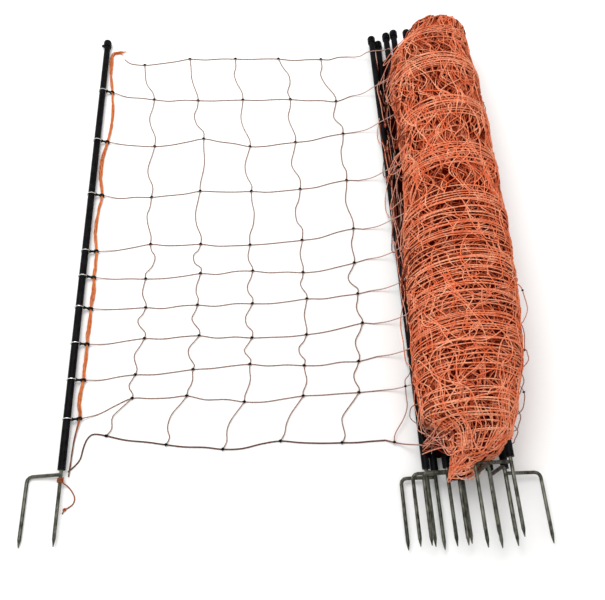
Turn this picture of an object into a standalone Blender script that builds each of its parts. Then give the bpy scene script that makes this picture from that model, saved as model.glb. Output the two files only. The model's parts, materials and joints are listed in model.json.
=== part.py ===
"""Roll of poultry netting with step-in posts, partly unrolled, as separate named pieces.

The roll lies on the ground with its axis along Y and the posts' feet towards -Y. One stretch of net
lies flat beside the roll, towards -X, and ends at a loose end post. Metres, +Z up. The origin is on
the ground under the middle of the roll.
"""
import math

import bmesh
import bpy
from mathutils import Matrix, Vector, geometry

# Clearances
CLEARANCE = 0.0003        # pieces that fit into or lie against each other
RING_CLEARANCE = 0.0005   # end post in its wire rings
EYE_CLEARANCE = 0.0008    # edge cord in the eyes of its clips
SEAT_CLEARANCE = 0.0006   # outer strands on the wound net
GROUND_GAP = 0.0002       # net and cords above the ground

# Posts
POST_LENGTH = 1.12
POST_DIAMETER = 0.015
POST_CHAMFER = 0.001
SOCKET_DEPTH = 0.06
ROUND_SIDES = 12

# Double spike at the foot of a post
SPIKE_DIAMETER = 0.007
SPIKE_BELOW_BAR = 0.13
PRONG_BELOW_BAR = 0.128
PRONG_SPACING = 0.065
BAR_BELOW_POST = 0.009
BAR_BEND_RADIUS = 0.010
TIP_LENGTH = 0.014
TIP_DIAMETER = 0.0018

# Cap on the top of a post, with a lug for a guy line
CAP_GRIP = 0.016
CAP_WALL = 0.0018
CAP_CROWN = 0.0055
LUG_DIAMETER = 0.008
LUG_HOLE = 0.003
LUG_THICKNESS = 0.003
END_LUG_TURN_DEG = 195
ROLL_LUG_TURN_DEG = 90

# Wire rings and strand clips on the end post
RING_WIRE = 0.0018
CLIP_WALL = 0.0016
CLIP_THICKNESS = 0.004
CLIP_WIDTH = 0.0045
CLIP_REACH = 0.012
CLIP_SLIPS = (-0.037, -0.015, -0.006, 0.003, 0.002, -0.012, 0.005, 0.013, 0.031)
CLIP_TURNS_DEG = (12, 3, 0, -6, -4, 10, 0, -4, -6)

# Edge cord and the tie round the end spike
EDGE_CORD_DIAMETER = 0.006
EDGE_CORD_STEP = 0.016
EDGE_CORD_TO_POST = 0.006
TIE_DIAMETER = 0.0024
TIE_TURNS = 3
TIE_PITCH = 0.0031

# Unrolled net: its rows, closer together near the ground, and its columns
BOTTOM_ROW_HEIGHT = 0.045
TOP_ROW_BELOW_TOP = 0.07
ROW_SHARES = (0, 0.090, 0.150, 0.220, 0.294, 0.370, 0.447, 0.582, 0.731, 0.871, 1)
STRAND_DIAMETER = 0.0026
KNOT_SIZE = 0.0052
KNOT_CROWN = 0.0008
KNOT_NECK = 0.004
COLUMN_COUNT = 5
COLUMN_SPACING = 0.113
FIRST_COLUMN = 0.101
COLUMN_BOW = 0.036
COLUMN_BOW_RISE = 0.28
COLUMN_FOOT_SHIFT = 0.030
SPAN_SWAY = 0.006
TOP_ROW_END_GAP = 0.014
TOP_ROW_END_RISE = 0.02
ROW_DRAW = 0.024   # rise of the middle rows where they near the roll
KNOT_NUDGES = {   # knots that lie off their row, by row and column, and how far up they lie
    (0, 0): 0.020, (0, 1): -0.009, (0, 2): -0.015, (0, 4): -0.018,
    (1, 1): 0.009, (1, 2): -0.010, (1, 3): -0.012, (1, 4): -0.011,
    (4, 1): 0.009, (7, 1): 0.015, (7, 4): 0.011, (8, 1): 0.010, (8, 2): -0.015,
    (9, 3): -0.013, (9, 4): -0.033, (10, 1): 0.014,
}

# Roll and where it lies
END_POST_TO_ROLL = 0.79
FOLD_TO_ROLL = 0.175
ROLL_STRAND_DIAMETER = 0.003
STRAND_END_HEIGHT = 0.02
ROLL_ROW_SHARE = 0.895   # slack rows on the roll lie closer together than on the ground
BUNDLE_SHIFT = 0.03
SECTION_POINTS = 24
CORE_SWELL = 0.0015
POST_LOBE = (-0.088, 0.035)   # net round the outer posts, full at the foot and gone at the top
POST_LOBE_RADIUS = 0.021

# Sections of the wound net from foot to top: share of its length, centre across, centre height, radius
CORE_PAST_BOTTOM_ROW = 0.044
CORE_PAST_TOP_ROW = 0.039
CORE_SHARES = (0, 0.02, 0.07, 0.16, 0.27, 0.41, 0.55, 0.68, 0.80, 0.88, 0.935, 0.972, 1)
CORE_SECTIONS = (
    (-0.031, 0.070, 0.050),
    (-0.028, 0.074, 0.071),
    (-0.028, 0.086, 0.089),
    (-0.018, 0.098, 0.102),
    (-0.009, 0.104, 0.108),
    (-0.001, 0.103, 0.107),
    (0.011, 0.097, 0.101),
    (0.014, 0.097, 0.101),
    (0.010, 0.097, 0.101),
    (0.014, 0.090, 0.094),
    (0.033, 0.079, 0.082),
    (0.042, 0.073, 0.075),
    (0.034, 0.066, 0.050),
)

# Posts held in the roll: place across, height and slip along Y, then the direction of the second prong
BUNDLE_POSTS = (
    (-0.090, 0.012, -0.008),
    (-0.072, 0.037, -0.007),
    (-0.054, 0.046, -0.008),
    (-0.108, 0.025, -0.004),
    (-0.022, 0.052, -0.014),
    (0.010, 0.024, -0.012),
    (0.040, 0.020, -0.009),
    (0.035, 0.083, -0.004),
)
PRONG_TURNS_DEG = (180, 178, 176, 0, 85, 82, -3, 180)

# Values that follow from the ones above
POST_RADIUS = POST_DIAMETER / 2
SPIKE_RADIUS = SPIKE_DIAMETER / 2
POST_FOOT_Y = -POST_LENGTH / 2
ROLL_FOOT_Y = POST_FOOT_Y - BUNDLE_SHIFT
NET_HEIGHT = POST_LENGTH - TOP_ROW_BELOW_TOP - BOTTOM_ROW_HEIGHT
ROW_HEIGHTS = tuple(BOTTOM_ROW_HEIGHT + share * NET_HEIGHT for share in ROW_SHARES)
CLIP_HEIGHTS = tuple(row + slip for row, slip in zip(ROW_HEIGHTS[1:], CLIP_SLIPS))
CORE_FOOT_Y = ROLL_FOOT_Y + BOTTOM_ROW_HEIGHT - CORE_PAST_BOTTOM_ROW
CORE_LENGTH = NET_HEIGHT + CORE_PAST_BOTTOM_ROW + CORE_PAST_TOP_ROW
CORE_PLACES = tuple(CORE_FOOT_Y + share * CORE_LENGTH for share in CORE_SHARES)
END_POST_X = -END_POST_TO_ROLL
FOLD_X = -FOLD_TO_ROLL


def facet_radius(radius, sides=ROUND_SIDES):
    """Corner radius of a faceted hole whose flats clear a rod of this radius."""
    return radius / math.cos(math.pi / sides)


RING_WIRE_RADIUS = RING_WIRE / 2
RING_SIDES = 16
RING_DIP = CLIP_THICKNESS ** 2 / (8 * POST_DIAMETER)
CLIP_BORE = facet_radius(RING_WIRE_RADIUS + CLEARANCE + RING_DIP)
CLIP_HEEL = CLIP_BORE + CLIP_WALL
RING_WIRE_X = POST_RADIUS + CLEARANCE + CLIP_HEEL
RING_RADIUS = (RING_WIRE_X + POST_RADIUS + RING_CLEARANCE + RING_WIRE_RADIUS) / 2
RING_OFFSET = RING_WIRE_X - RING_RADIUS
END_AXIS_Z = RING_RADIUS + RING_WIRE_RADIUS
EYE_BORE = facet_radius(EDGE_CORD_DIAMETER / 2 + EYE_CLEARANCE)
EYE_RADIUS = EYE_BORE + CLIP_WALL
EYE_Z = EYE_RADIUS + GROUND_GAP
CAP_BORE = facet_radius(POST_RADIUS + CLEARANCE)
CAP_RADIUS = CAP_BORE + CAP_WALL
NET_TOP = GROUND_GAP + ROLL_STRAND_DIAMETER
FOLD_AXIS = Vector((FOLD_X, 0, NET_TOP + CLEARANCE))
PRONG_DROP = math.asin((END_AXIS_Z - SPIKE_RADIUS - GROUND_GAP) / PRONG_SPACING)


def clear_scene():
    for old in list(bpy.data.objects):
        bpy.data.objects.remove(old, do_unlink=True)


def make_material(name, colour, roughness, metallic=0.0):
    material = bpy.data.materials.new(name)
    material.use_nodes = True
    shader = material.node_tree.nodes["Principled BSDF"]
    shader.inputs["Base Color"].default_value = (*colour, 1.0)
    shader.inputs["Roughness"].default_value = roughness
    shader.inputs["Metallic"].default_value = metallic
    return material


def place(name, data, material, parent, location=(0, 0, 0), rotation=(0, 0, 0)):
    """Add an object for mesh or curve data, at a place in the world, under its body's empty."""
    piece = bpy.data.objects.new(name, data)
    bpy.context.scene.collection.objects.link(piece)
    data.materials.clear()
    data.materials.append(material)
    piece.location = Vector(location) - parent.location
    piece.rotation_euler = rotation
    piece.parent = parent
    return piece


def add_empty(name, location, parent=None):
    """Empty that carries one body, standing on the axis of that body's joint."""
    empty = bpy.data.objects.new(name, None)
    bpy.context.scene.collection.objects.link(empty)
    empty.location = location
    if parent:
        empty.parent = parent
        empty.matrix_parent_inverse = Matrix.Translation(-parent.location)
    return empty


def finish_mesh(name, shape):
    """Turn a bmesh into mesh data with its faces out and its round faces smooth."""
    bmesh.ops.recalc_face_normals(shape, faces=shape.faces)
    mesh = bpy.data.meshes.new(name)
    shape.to_mesh(mesh)
    shape.free()
    mesh.shade_smooth()
    mesh.set_sharp_from_angle(angle=math.radians(35))
    return mesh


def turned(name, profile, sides=ROUND_SIDES):
    """Solid of revolution about Y from (radius, y) points that start and end on the axis."""
    shape = bmesh.new()
    points = [shape.verts.new((radius, y, 0)) for radius, y in profile]
    outline = [shape.edges.new(pair) for pair in zip(points, points[1:])]
    bmesh.ops.spin(
        shape, geom=points + outline, axis=(0, 1, 0), cent=(0, 0, 0), steps=sides, angle=2 * math.pi
    )
    bmesh.ops.remove_doubles(shape, verts=shape.verts, dist=1e-6)
    return finish_mesh(name, shape)


def rod_mesh(radius, length, centre, axis, sides=ROUND_SIDES):
    """Plain faceted cylinder along a direction."""
    shape = bmesh.new()
    turn = Vector((0, 0, 1)).rotation_difference(Vector(axis)).to_matrix().to_4x4()
    bmesh.ops.create_cone(
        shape, cap_ends=True, segments=sides, radius1=radius, radius2=radius, depth=length,
        matrix=Matrix.Translation(centre) @ turn,
    )
    return finish_mesh("rod", shape)


def bar_mesh(size, centre, turn):
    """Plain rectangular bar, turned about Y."""
    shape = bmesh.new()
    bmesh.ops.create_cube(
        shape, matrix=Matrix.Translation(centre) @ Matrix.Rotation(turn, 4, "Y") @ Matrix.Diagonal((*size, 1))
    )
    return finish_mesh("bar", shape)


def tube_curve(name, points, diameter, resolution, radii=None, cyclic=False):
    """Round tube along a list of points, with filled ends."""
    curve = bpy.data.curves.new(name, "CURVE")
    curve.dimensions = "3D"
    curve.bevel_depth = diameter / 2
    curve.bevel_resolution = resolution
    curve.render_resolution_u = 0
    curve.use_fill_caps = True
    spline = curve.splines.new("POLY")
    spline.points.add(len(points) - 1)
    spline.use_cyclic_u = cyclic
    spline.use_smooth = True
    for index, point in enumerate(points):
        spline.points[index].co = (*point, 1)
        spline.points[index].radius = radii[index] if radii else 1
    return curve


def evaluated_mesh(piece):
    """Mesh of an object as its modifiers leave it; the object itself is removed."""
    graph = bpy.context.evaluated_depsgraph_get()
    mesh = bpy.data.meshes.new_from_object(piece.evaluated_get(graph))
    bpy.data.objects.remove(piece, do_unlink=True)
    return mesh


def curve_mesh(curve):
    piece = bpy.data.objects.new("curve", curve)
    bpy.context.scene.collection.objects.link(piece)
    return evaluated_mesh(piece)


def combined(name, base, steps):
    """Mesh of a base solid after a list of (operation, mesh) steps."""
    piece = bpy.data.objects.new(name, base)
    bpy.context.scene.collection.objects.link(piece)
    tools = []
    for operation, mesh in steps:
        tool = bpy.data.objects.new("tool", mesh)
        bpy.context.scene.collection.objects.link(tool)
        tools.append(tool)
        cut = piece.modifiers.new(operation, "BOOLEAN")
        cut.operation = operation
        cut.solver = "EXACT"
        cut.object = tool
    bpy.context.view_layer.update()
    mesh = evaluated_mesh(piece)
    for tool in tools:
        bpy.data.objects.remove(tool, do_unlink=True)
    mesh.name = name
    mesh.shade_smooth()
    mesh.set_sharp_from_angle(angle=math.radians(35))
    return mesh


def smooth_route(points, step):
    """Points a step apart along a smooth curve through a route's own points."""
    ends = [2 * points[0] - points[1], *points, 2 * points[-1] - points[-2]]
    route = []
    for before, start, stop, after in zip(ends, ends[1:], ends[2:], ends[3:]):
        count = max(1, round((stop - start).length / step))
        for index in range(count):
            t = index / count
            route.append(
                0.5 * (2 * start + (stop - before) * t
                       + (2 * before - 5 * start + 4 * stop - after) * t ** 2
                       + (3 * start - before - 3 * stop + after) * t ** 3)
            )
    return route + [points[-1]]


def least_self_gap(points, diameter):
    """Least clear distance between two stretches of a tube that aren't neighbours along it."""
    lengths = [0.0]
    for start, stop in zip(points, points[1:]):
        lengths.append(lengths[-1] + (stop - start).length)
    gaps = [
        (a - b).length
        for i, a in enumerate(points)
        for j, b in enumerate(points[:i])
        if lengths[i] - lengths[j] > 3 * diameter
    ]
    return min(gaps) - diameter


def post_mesh():
    """Line post with a socket for its spike; its lower end is at the origin, its axis is +Y."""
    socket = facet_radius(SPIKE_RADIUS + CLEARANCE)
    return turned("post", [
        (0, POST_LENGTH),
        (POST_RADIUS - POST_CHAMFER, POST_LENGTH),
        (POST_RADIUS, POST_LENGTH - POST_CHAMFER),
        (POST_RADIUS, 0),
        (socket, 0),
        (socket, SOCKET_DEPTH),
        (0, SOCKET_DEPTH),
    ])


def foot_mesh():
    """Double spike in the frame of its post; the second prong stands towards +X."""
    bar_y = -BAR_BELOW_POST
    tip_ratio = TIP_DIAMETER / SPIKE_DIAMETER
    spike_tip = bar_y - SPIKE_BELOW_BAR
    spike = [
        (0, SOCKET_DEPTH - CLEARANCE, 0),
        (0, bar_y, 0),
        (0, spike_tip + TIP_LENGTH, 0),
        (0, spike_tip, 0),
    ]
    bend = Vector((PRONG_SPACING - BAR_BEND_RADIUS, bar_y - BAR_BEND_RADIUS, 0))
    prong = [(0, bar_y, 0)]
    for degrees in (90, 60, 30, 0):
        turn = math.radians(degrees)
        prong.append(bend + BAR_BEND_RADIUS * Vector((math.cos(turn), math.sin(turn), 0)))
    prong_tip = bar_y - PRONG_BELOW_BAR
    prong += [(PRONG_SPACING, prong_tip + TIP_LENGTH, 0), (PRONG_SPACING, prong_tip, 0)]
    spike_solid = curve_mesh(tube_curve("spike", spike, SPIKE_DIAMETER, 2, [1, 1, 1, tip_ratio]))
    prong_radii = [1] * (len(prong) - 1) + [tip_ratio]
    prong_solid = curve_mesh(tube_curve("prong", prong, SPIKE_DIAMETER, 2, prong_radii))
    return combined("foot", spike_solid, [("UNION", prong_solid)])


def cap_mesh():
    """Cap in the frame of its post's top, with a flat lug towards +X."""
    cup = turned("cap", [
        (0, CAP_CROWN),
        (0.55 * CAP_RADIUS, 0.85 * CAP_CROWN),
        (0.9 * CAP_RADIUS, 0.4 * CAP_CROWN),
        (CAP_RADIUS, -0.2 * CAP_CROWN),
        (CAP_RADIUS, -CAP_GRIP),
        (CAP_BORE, -CAP_GRIP),
        (CAP_BORE, CLEARANCE),
        (0, CLEARANCE),
    ])
    lug_x = CAP_RADIUS + 0.3 * LUG_DIAMETER
    lug_y = -CAP_GRIP + LUG_DIAMETER
    lug = rod_mesh(LUG_DIAMETER / 2, LUG_THICKNESS, (lug_x, lug_y, 0), (0, 0, 1), 8)
    hole = rod_mesh(LUG_HOLE / 2, 2 * LUG_THICKNESS, (lug_x, lug_y, 0), (0, 0, 1), 6)
    bore = rod_mesh(CAP_BORE, 2 * CAP_GRIP, (0, CLEARANCE - CAP_GRIP, 0), (0, 1, 0))
    lug = combined("lug", lug, [("DIFFERENCE", hole), ("DIFFERENCE", bore)])
    return combined("cap", cup, [("UNION", lug)])


def clip_mesh():
    """Strand clip: a heel that hangs on the ring's wire, at the origin, and an eye for the edge cord."""
    drop = EYE_Z - END_AXIS_Z
    arm = Vector((CLIP_REACH, 0, drop))
    heel = rod_mesh(CLIP_HEEL, CLIP_THICKNESS, (0, 0, 0), (0, 0, 1))
    eye = rod_mesh(EYE_RADIUS, CLIP_WIDTH, arm, (0, 1, 0))
    bar_size = (arm.length, 0.8 * CLIP_WIDTH, 0.8 * CLIP_THICKNESS)
    bar = bar_mesh(bar_size, arm / 2, math.atan2(-drop, CLIP_REACH))
    wire_hole = rod_mesh(CLIP_BORE, 4 * CLIP_THICKNESS, (0, 0, 0), (0, 0, 1))
    cord_hole = rod_mesh(EYE_BORE, 4 * CLIP_WIDTH, arm, (0, 1, 0))
    return combined("clip", heel, [
        ("UNION", bar), ("UNION", eye), ("DIFFERENCE", wire_hole), ("DIFFERENCE", cord_hole),
    ])


def ring_curve():
    """Wire ring in a plane square to its post, with its centre at the origin."""
    points = []
    for index in range(RING_SIDES):
        turn = 2 * math.pi * index / RING_SIDES
        points.append(RING_RADIUS * Vector((math.cos(turn), 0, math.sin(turn))))
    return tube_curve("ring", points, RING_WIRE, 1, cyclic=True)


def clip_eye(index):
    """Middle of a clip's eye, where the edge cord passes."""
    turn = math.radians(CLIP_TURNS_DEG[index])
    return Vector((
        END_POST_X + RING_WIRE_X + CLIP_REACH * math.cos(turn),
        POST_FOOT_Y + CLIP_HEIGHTS[index] + CLIP_REACH * math.sin(turn),
        EYE_Z,
    ))


def edge_cord_route():
    """From the tie at the spike, through the eyes and down to the ground between them, to the cap's side."""
    ground_z = EDGE_CORD_DIAMETER / 2 + GROUND_GAP
    beside_spike = SPIKE_RADIUS + TIE_DIAMETER + EDGE_CORD_DIAMETER / 2 + 2 * CLEARANCE
    beside_post = POST_RADIUS + EDGE_CORD_DIAMETER / 2 + EDGE_CORD_TO_POST
    route = [
        Vector((END_POST_X + beside_spike + 0.004, POST_FOOT_Y - 0.012, ground_z)),
        Vector((END_POST_X + beside_post, POST_FOOT_Y + 0.045, ground_z)),
    ]
    for index in range(len(CLIP_HEIGHTS)):
        eye = clip_eye(index)
        if index:
            middle = (route[-1] + eye) / 2
            middle.x -= 0.03 * (eye.y - route[-1].y)
            middle.z = ground_z
            route.append(middle)
        route.append(eye)
    cap_x = END_POST_X + CAP_RADIUS + EDGE_CORD_DIAMETER / 2 + 2 * CLEARANCE
    cap_y = POST_FOOT_Y + POST_LENGTH - CAP_GRIP
    below_cap = Vector((cap_x, cap_y - EDGE_CORD_DIAMETER, END_AXIS_Z))
    route += [
        Vector((cap_x + 0.008, (route[-1].y + below_cap.y) / 2, ground_z)),
        below_cap,
        Vector((cap_x, cap_y + EDGE_CORD_DIAMETER, END_AXIS_Z)),
    ]
    return smooth_route(route, EDGE_CORD_STEP)


def foot_tie_route():
    """Turns of twine round the end spike below the step bar, then a loose tail on the ground."""
    coil = SPIKE_RADIUS + CLEARANCE + TIE_DIAMETER / 2
    per_turn = 10
    start_y = POST_FOOT_Y - BAR_BELOW_POST - SPIKE_RADIUS - TIE_DIAMETER
    route = []
    for index in range(TIE_TURNS * per_turn + 1):
        turn = 2 * math.pi * index / per_turn
        route.append(Vector((
            END_POST_X + facet_radius(coil, per_turn) * math.cos(turn),
            start_y - TIE_PITCH * index / per_turn,
            END_AXIS_Z - facet_radius(coil, per_turn) * math.sin(turn),
        )))
    tail_z = TIE_DIAMETER / 2 + GROUND_GAP
    tail = [
        route[-1],
        Vector((END_POST_X + coil + 0.005, route[-1].y - 0.006, tail_z + 0.003)),
        Vector((END_POST_X + 0.020, route[-1].y - 0.021, tail_z)),
        Vector((END_POST_X + 0.022, route[-1].y - 0.034, tail_z)),
        Vector((END_POST_X + 0.014, route[-1].y - 0.045, tail_z)),
    ]
    return route + smooth_route(tail, 0.006)[1:]


def column_shift(height):
    """Sideways set of a column at a height: bowed towards the roll, drawn back at the bottom row."""
    rise = min(1, max(0, (ROW_HEIGHTS[-1] - height) / COLUMN_BOW_RISE))
    drag = min(1, max(0, (ROW_HEIGHTS[1] - height) / (ROW_HEIGHTS[1] - ROW_HEIGHTS[0])))
    settle = min(1, max(0, (ROW_HEIGHTS[3] - height) / ROW_HEIGHTS[3]))
    return COLUMN_BOW * (math.sin(rise * math.pi / 2) - settle) - COLUMN_FOOT_SHIFT * drag


def row_draw(x, row):
    """Rise of a row along Y at a place across, from the last column but one to the fold."""
    start = END_POST_X + FIRST_COLUMN + (COLUMN_COUNT - 2) * COLUMN_SPACING + COLUMN_BOW
    share = max(0, (x - start) / (FOLD_X - start))
    return ROW_DRAW * share * math.sin(math.pi * ROW_SHARES[row])


def knot_place(column, row):
    height = ROW_HEIGHTS[row]
    sway = SPAN_SWAY * math.sin(1.7 * column + 2.3 * row)
    x = END_POST_X + FIRST_COLUMN + column * COLUMN_SPACING + column_shift(height) + 0.5 * sway
    rise = sway + row_draw(x, row) + KNOT_NUDGES.get((row, column), 0)
    return Vector((x, POST_FOOT_Y + height + rise, 0))


def strand_ring(shape, point, along, size):
    """Four corners of a strand's section at a point, flat on the ground."""
    side = Vector((-along.y, along.x, 0)).normalized() * size / 2
    low = Vector((point.x, point.y, GROUND_GAP))
    high = Vector((point.x, point.y, GROUND_GAP + size))
    return [shape.verts.new(corner) for corner in (low - side, low + side, high + side, high - side)]


def bridge_rings(shape, rings):
    for first, second in zip(rings, rings[1:]):
        for k in range(4):
            shape.faces.new((first[k], first[(k + 1) % 4], second[(k + 1) % 4], second[k]))


def knot_sides(shape, centre):
    """Knot block: its four side rings, by direction, with its top and bottom closed."""
    half = KNOT_SIZE / 2
    corners = {}
    for level, z in (("low", GROUND_GAP), ("high", GROUND_GAP + KNOT_SIZE)):
        for name, dx, dy in (("sw", -1, -1), ("se", 1, -1), ("ne", 1, 1), ("nw", -1, 1)):
            corners[level, name] = shape.verts.new((centre.x + dx * half, centre.y + dy * half, z))
    shape.faces.new([corners["low", name] for name in ("sw", "nw", "ne", "se")])
    crown = shape.verts.new((centre.x, centre.y, GROUND_GAP + KNOT_SIZE + KNOT_CROWN))
    around = [corners["high", name] for name in ("sw", "se", "ne", "nw")]
    for k in range(4):
        shape.faces.new((around[k], around[(k + 1) % 4], crown))
    pairs = {"east": ("se", "ne"), "west": ("sw", "nw"), "north": ("ne", "nw"), "south": ("se", "sw")}
    return {
        side: [corners["low", a], corners["low", b], corners["high", b], corners["high", a]]
        for side, (a, b) in pairs.items()
    }


def strand_span(shape, start, start_ring, stop, stop_ring, sway):
    """Strand between two knots, narrow just past each knot and swayed to one side in its middle."""
    along = (stop - start).normalized()
    side = Vector((-along.y, along.x, 0))
    neck = KNOT_SIZE / 2 + KNOT_NECK
    rings = [start_ring]
    for point in (start + along * neck, (start + stop) / 2 + side * sway, stop - along * neck):
        rings.append(strand_ring(shape, point, along, STRAND_DIAMETER))
    bridge_rings(shape, rings + [stop_ring])


def strand_end(shape, points, knot_ring):
    """Strand from a free, capped end through a few points to a knot."""
    rings = []
    for index, point in enumerate(points):
        before = points[max(index - 1, 0)]
        after = points[min(index + 1, len(points) - 1)]
        rings.append(strand_ring(shape, point, after - before, STRAND_DIAMETER))
    shape.faces.new(rings[0])
    bridge_rings(shape, rings + [knot_ring])


def row_start(row):
    """Free end of a row at the end post, with the points that lead it to the first knot."""
    last_row = len(ROW_HEIGHTS) - 1
    knot = knot_place(0, row)
    neck = knot - Vector((KNOT_SIZE / 2 + KNOT_NECK, 0, 0))
    if row == 0:
        foot = Vector((END_POST_X, POST_FOOT_Y, 0))
        first = [Vector((0.024, 0.004, 0)), Vector((0.031, 0.020, 0)), Vector((0.037, 0.052, 0))]
        return [foot + point for point in first] + [neck]
    if row == last_row:
        cord_edge = POST_RADIUS + EDGE_CORD_DIAMETER + TOP_ROW_END_GAP
        end = Vector((END_POST_X + cord_edge, POST_FOOT_Y + ROW_HEIGHTS[row] + TOP_ROW_END_RISE, 0))
    else:
        eye = clip_eye(row - 1)
        end = Vector((eye.x + EYE_RADIUS + CLEARANCE, eye.y, 0))
    middle = (end + neck) / 2 + Vector((0, SPAN_SWAY * math.sin(1.3 * row), 0))
    return [end, middle, neck]


def fold_place(row):
    """Where a row crosses the fold, on the ground beside the roll."""
    return Vector((FOLD_X, POST_FOOT_Y + ROW_HEIGHTS[row] + row_draw(FOLD_X, row), 0))


def roll_row_place(row):
    """Where a row lies on the roll, along Y."""
    return POST_FOOT_Y + BOTTOM_ROW_HEIGHT + ROLL_ROW_SHARE * (ROW_HEIGHTS[row] - BOTTOM_ROW_HEIGHT)


def net_mesh():
    """Unrolled net: rows and columns of strand tied at knots, in one piece."""
    shape = bmesh.new()
    rows = range(len(ROW_HEIGHTS))
    columns = range(COLUMN_COUNT)
    places = {(c, r): knot_place(c, r) for c in columns for r in rows}
    knots = {key: knot_sides(shape, place) for key, place in places.items()}
    for r in rows:
        strand_end(shape, row_start(r), knots[0, r]["west"])
        fold_end = fold_place(r) - Vector((CLEARANCE / 2, 0, 0))
        lead = [fold_end, fold_end - Vector((2 * STRAND_DIAMETER, 0, 0))]
        neck = places[COLUMN_COUNT - 1, r] + Vector((KNOT_SIZE / 2 + KNOT_NECK, 0, 0))
        last_knot = knots[COLUMN_COUNT - 1, r]["east"]
        strand_end(shape, lead + [neck], [last_knot[k] for k in (1, 0, 3, 2)])
        for c in columns[:-1]:
            sway = SPAN_SWAY * math.sin(2.1 * c + 1.3 * r)
            strand_span(
                shape, places[c, r], knots[c, r]["east"], places[c + 1, r], knots[c + 1, r]["west"], sway
            )
    for c in columns:
        shape.faces.new(knots[c, rows[0]]["south"])
        shape.faces.new(knots[c, rows[-1]]["north"])
        for r in rows[:-1]:
            sway = SPAN_SWAY * math.cos(1.9 * c + 2.7 * r)
            strand_span(
                shape, places[c, r], knots[c, r]["north"], places[c, r + 1], knots[c, r + 1]["south"], sway
            )
    return finish_mesh("net_panel", shape)


def section_point(number, turn):
    """Point of one section of the wound net whose outward direction has this turn."""
    y = CORE_PLACES[number]
    centre_x, centre_z, radius = CORE_SECTIONS[number]
    outward = Vector((math.cos(turn), 0, math.sin(turn)))
    body = Vector((centre_x, y, centre_z))
    lobe_share = 1 - CORE_SHARES[number]
    lobe = body.lerp(Vector((POST_LOBE[0], y, POST_LOBE[1])), lobe_share)
    lobe_radius = min(POST_LOBE_RADIUS, 0.3 * radius) * lobe_share
    swell = CORE_SWELL * math.sin(3 * turn + 25 * y)
    if body.dot(outward) + radius >= lobe.dot(outward) + lobe_radius:
        point = body + (radius + swell) * outward
    else:
        point = lobe + lobe_radius * outward
    point.z = max(point.z, 0)
    return point


def core_point(y, turn):
    """Point on the wound net's surface between two of its sections."""
    last = len(CORE_PLACES) - 1
    far = next((number for number in range(1, last) if y <= CORE_PLACES[number]), last)
    near_y, far_y = CORE_PLACES[far - 1:far + 1]
    return section_point(far - 1, turn).lerp(section_point(far, turn), (y - near_y) / (far_y - near_y))


def section_turn(index):
    return 2 * math.pi * index / SECTION_POINTS


def core_mesh():
    """Wound net as one lofted bundle, with a tunnel for each post that it holds."""
    shape = bmesh.new()
    rings = []
    for number in range(len(CORE_SECTIONS)):
        rings.append([shape.verts.new(section_point(number, section_turn(k))) for k in range(SECTION_POINTS)])
    for first, second in zip(rings, rings[1:]):
        for k in range(SECTION_POINTS):
            after = (k + 1) % SECTION_POINTS
            shape.faces.new((first[k], first[after], second[after], second[k]))
    shape.faces.new(rings[0])
    shape.faces.new(rings[-1])
    bundle = finish_mesh("bundle", shape)
    tunnels = []
    for x, z, _ in BUNDLE_POSTS:
        tunnel = rod_mesh(facet_radius(POST_RADIUS + CLEARANCE), 2 * POST_LENGTH, (x, 0, z), (0, 1, 0))
        tunnels.append(("DIFFERENCE", tunnel))
    return combined("roll_core", bundle, tunnels)


def strand_outline(y, offset):
    """Points round the wound net and its posts at a place along Y, set outwards, from left over the top."""
    points = [core_point(y, section_turn(k)).xz for k in range(SECTION_POINTS)]
    for x, z, _ in BUNDLE_POSTS:
        for k in range(ROUND_SIDES):
            turn = 2 * math.pi * k / ROUND_SIDES
            points.append(Vector((x + POST_RADIUS * math.cos(turn), z + POST_RADIUS * math.sin(turn))))
    hull = [points[k] for k in geometry.convex_hull_2d(points)]
    turning = sum(hull[k - 1].x * hull[k].y - hull[k].x * hull[k - 1].y for k in range(len(hull)))
    if turning > 0:
        hull.reverse()
    outline = []
    for k, corner in enumerate(hull):
        before = (corner - hull[k - 1]).normalized()
        after = (hull[(k + 1) % len(hull)] - corner).normalized()
        out = Vector((-before.y - after.y, before.x + after.x))
        place_2d = corner + out * offset / (1 + before.dot(after))
        outline.append(Vector((place_2d.x, y, place_2d.y)))
    return outline


def roll_strand_route(row):
    """Outer turn of a row: level past the fold, up to the roll, over it and down its far side."""
    radius = ROLL_STRAND_DIAMETER / 2
    start = fold_place(row) + Vector((CLEARANCE / 2, 0, GROUND_GAP + radius))
    rise = start + Vector((3 * ROLL_STRAND_DIAMETER, 0, 0))
    outline = strand_outline(roll_row_place(row), SEAT_CLEARANCE + radius)
    tangent = max(outline, key=lambda point: math.atan2(point.z - rise.z, point.x - rise.x))
    first = outline.index(tangent)
    over = [tangent]
    while over[-1].x < tangent.x + ROLL_STRAND_DIAMETER or over[-1].z > STRAND_END_HEIGHT:
        first += 1
        over.append(outline[first % len(outline)])
    climb = [rise.lerp(tangent, share) for share in (0.08, 0.36, 0.68)]
    climb[0].z = rise.z + 0.5 * (climb[0].z - rise.z)
    return [start, start.lerp(rise, 0.8)] + climb + over


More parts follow.
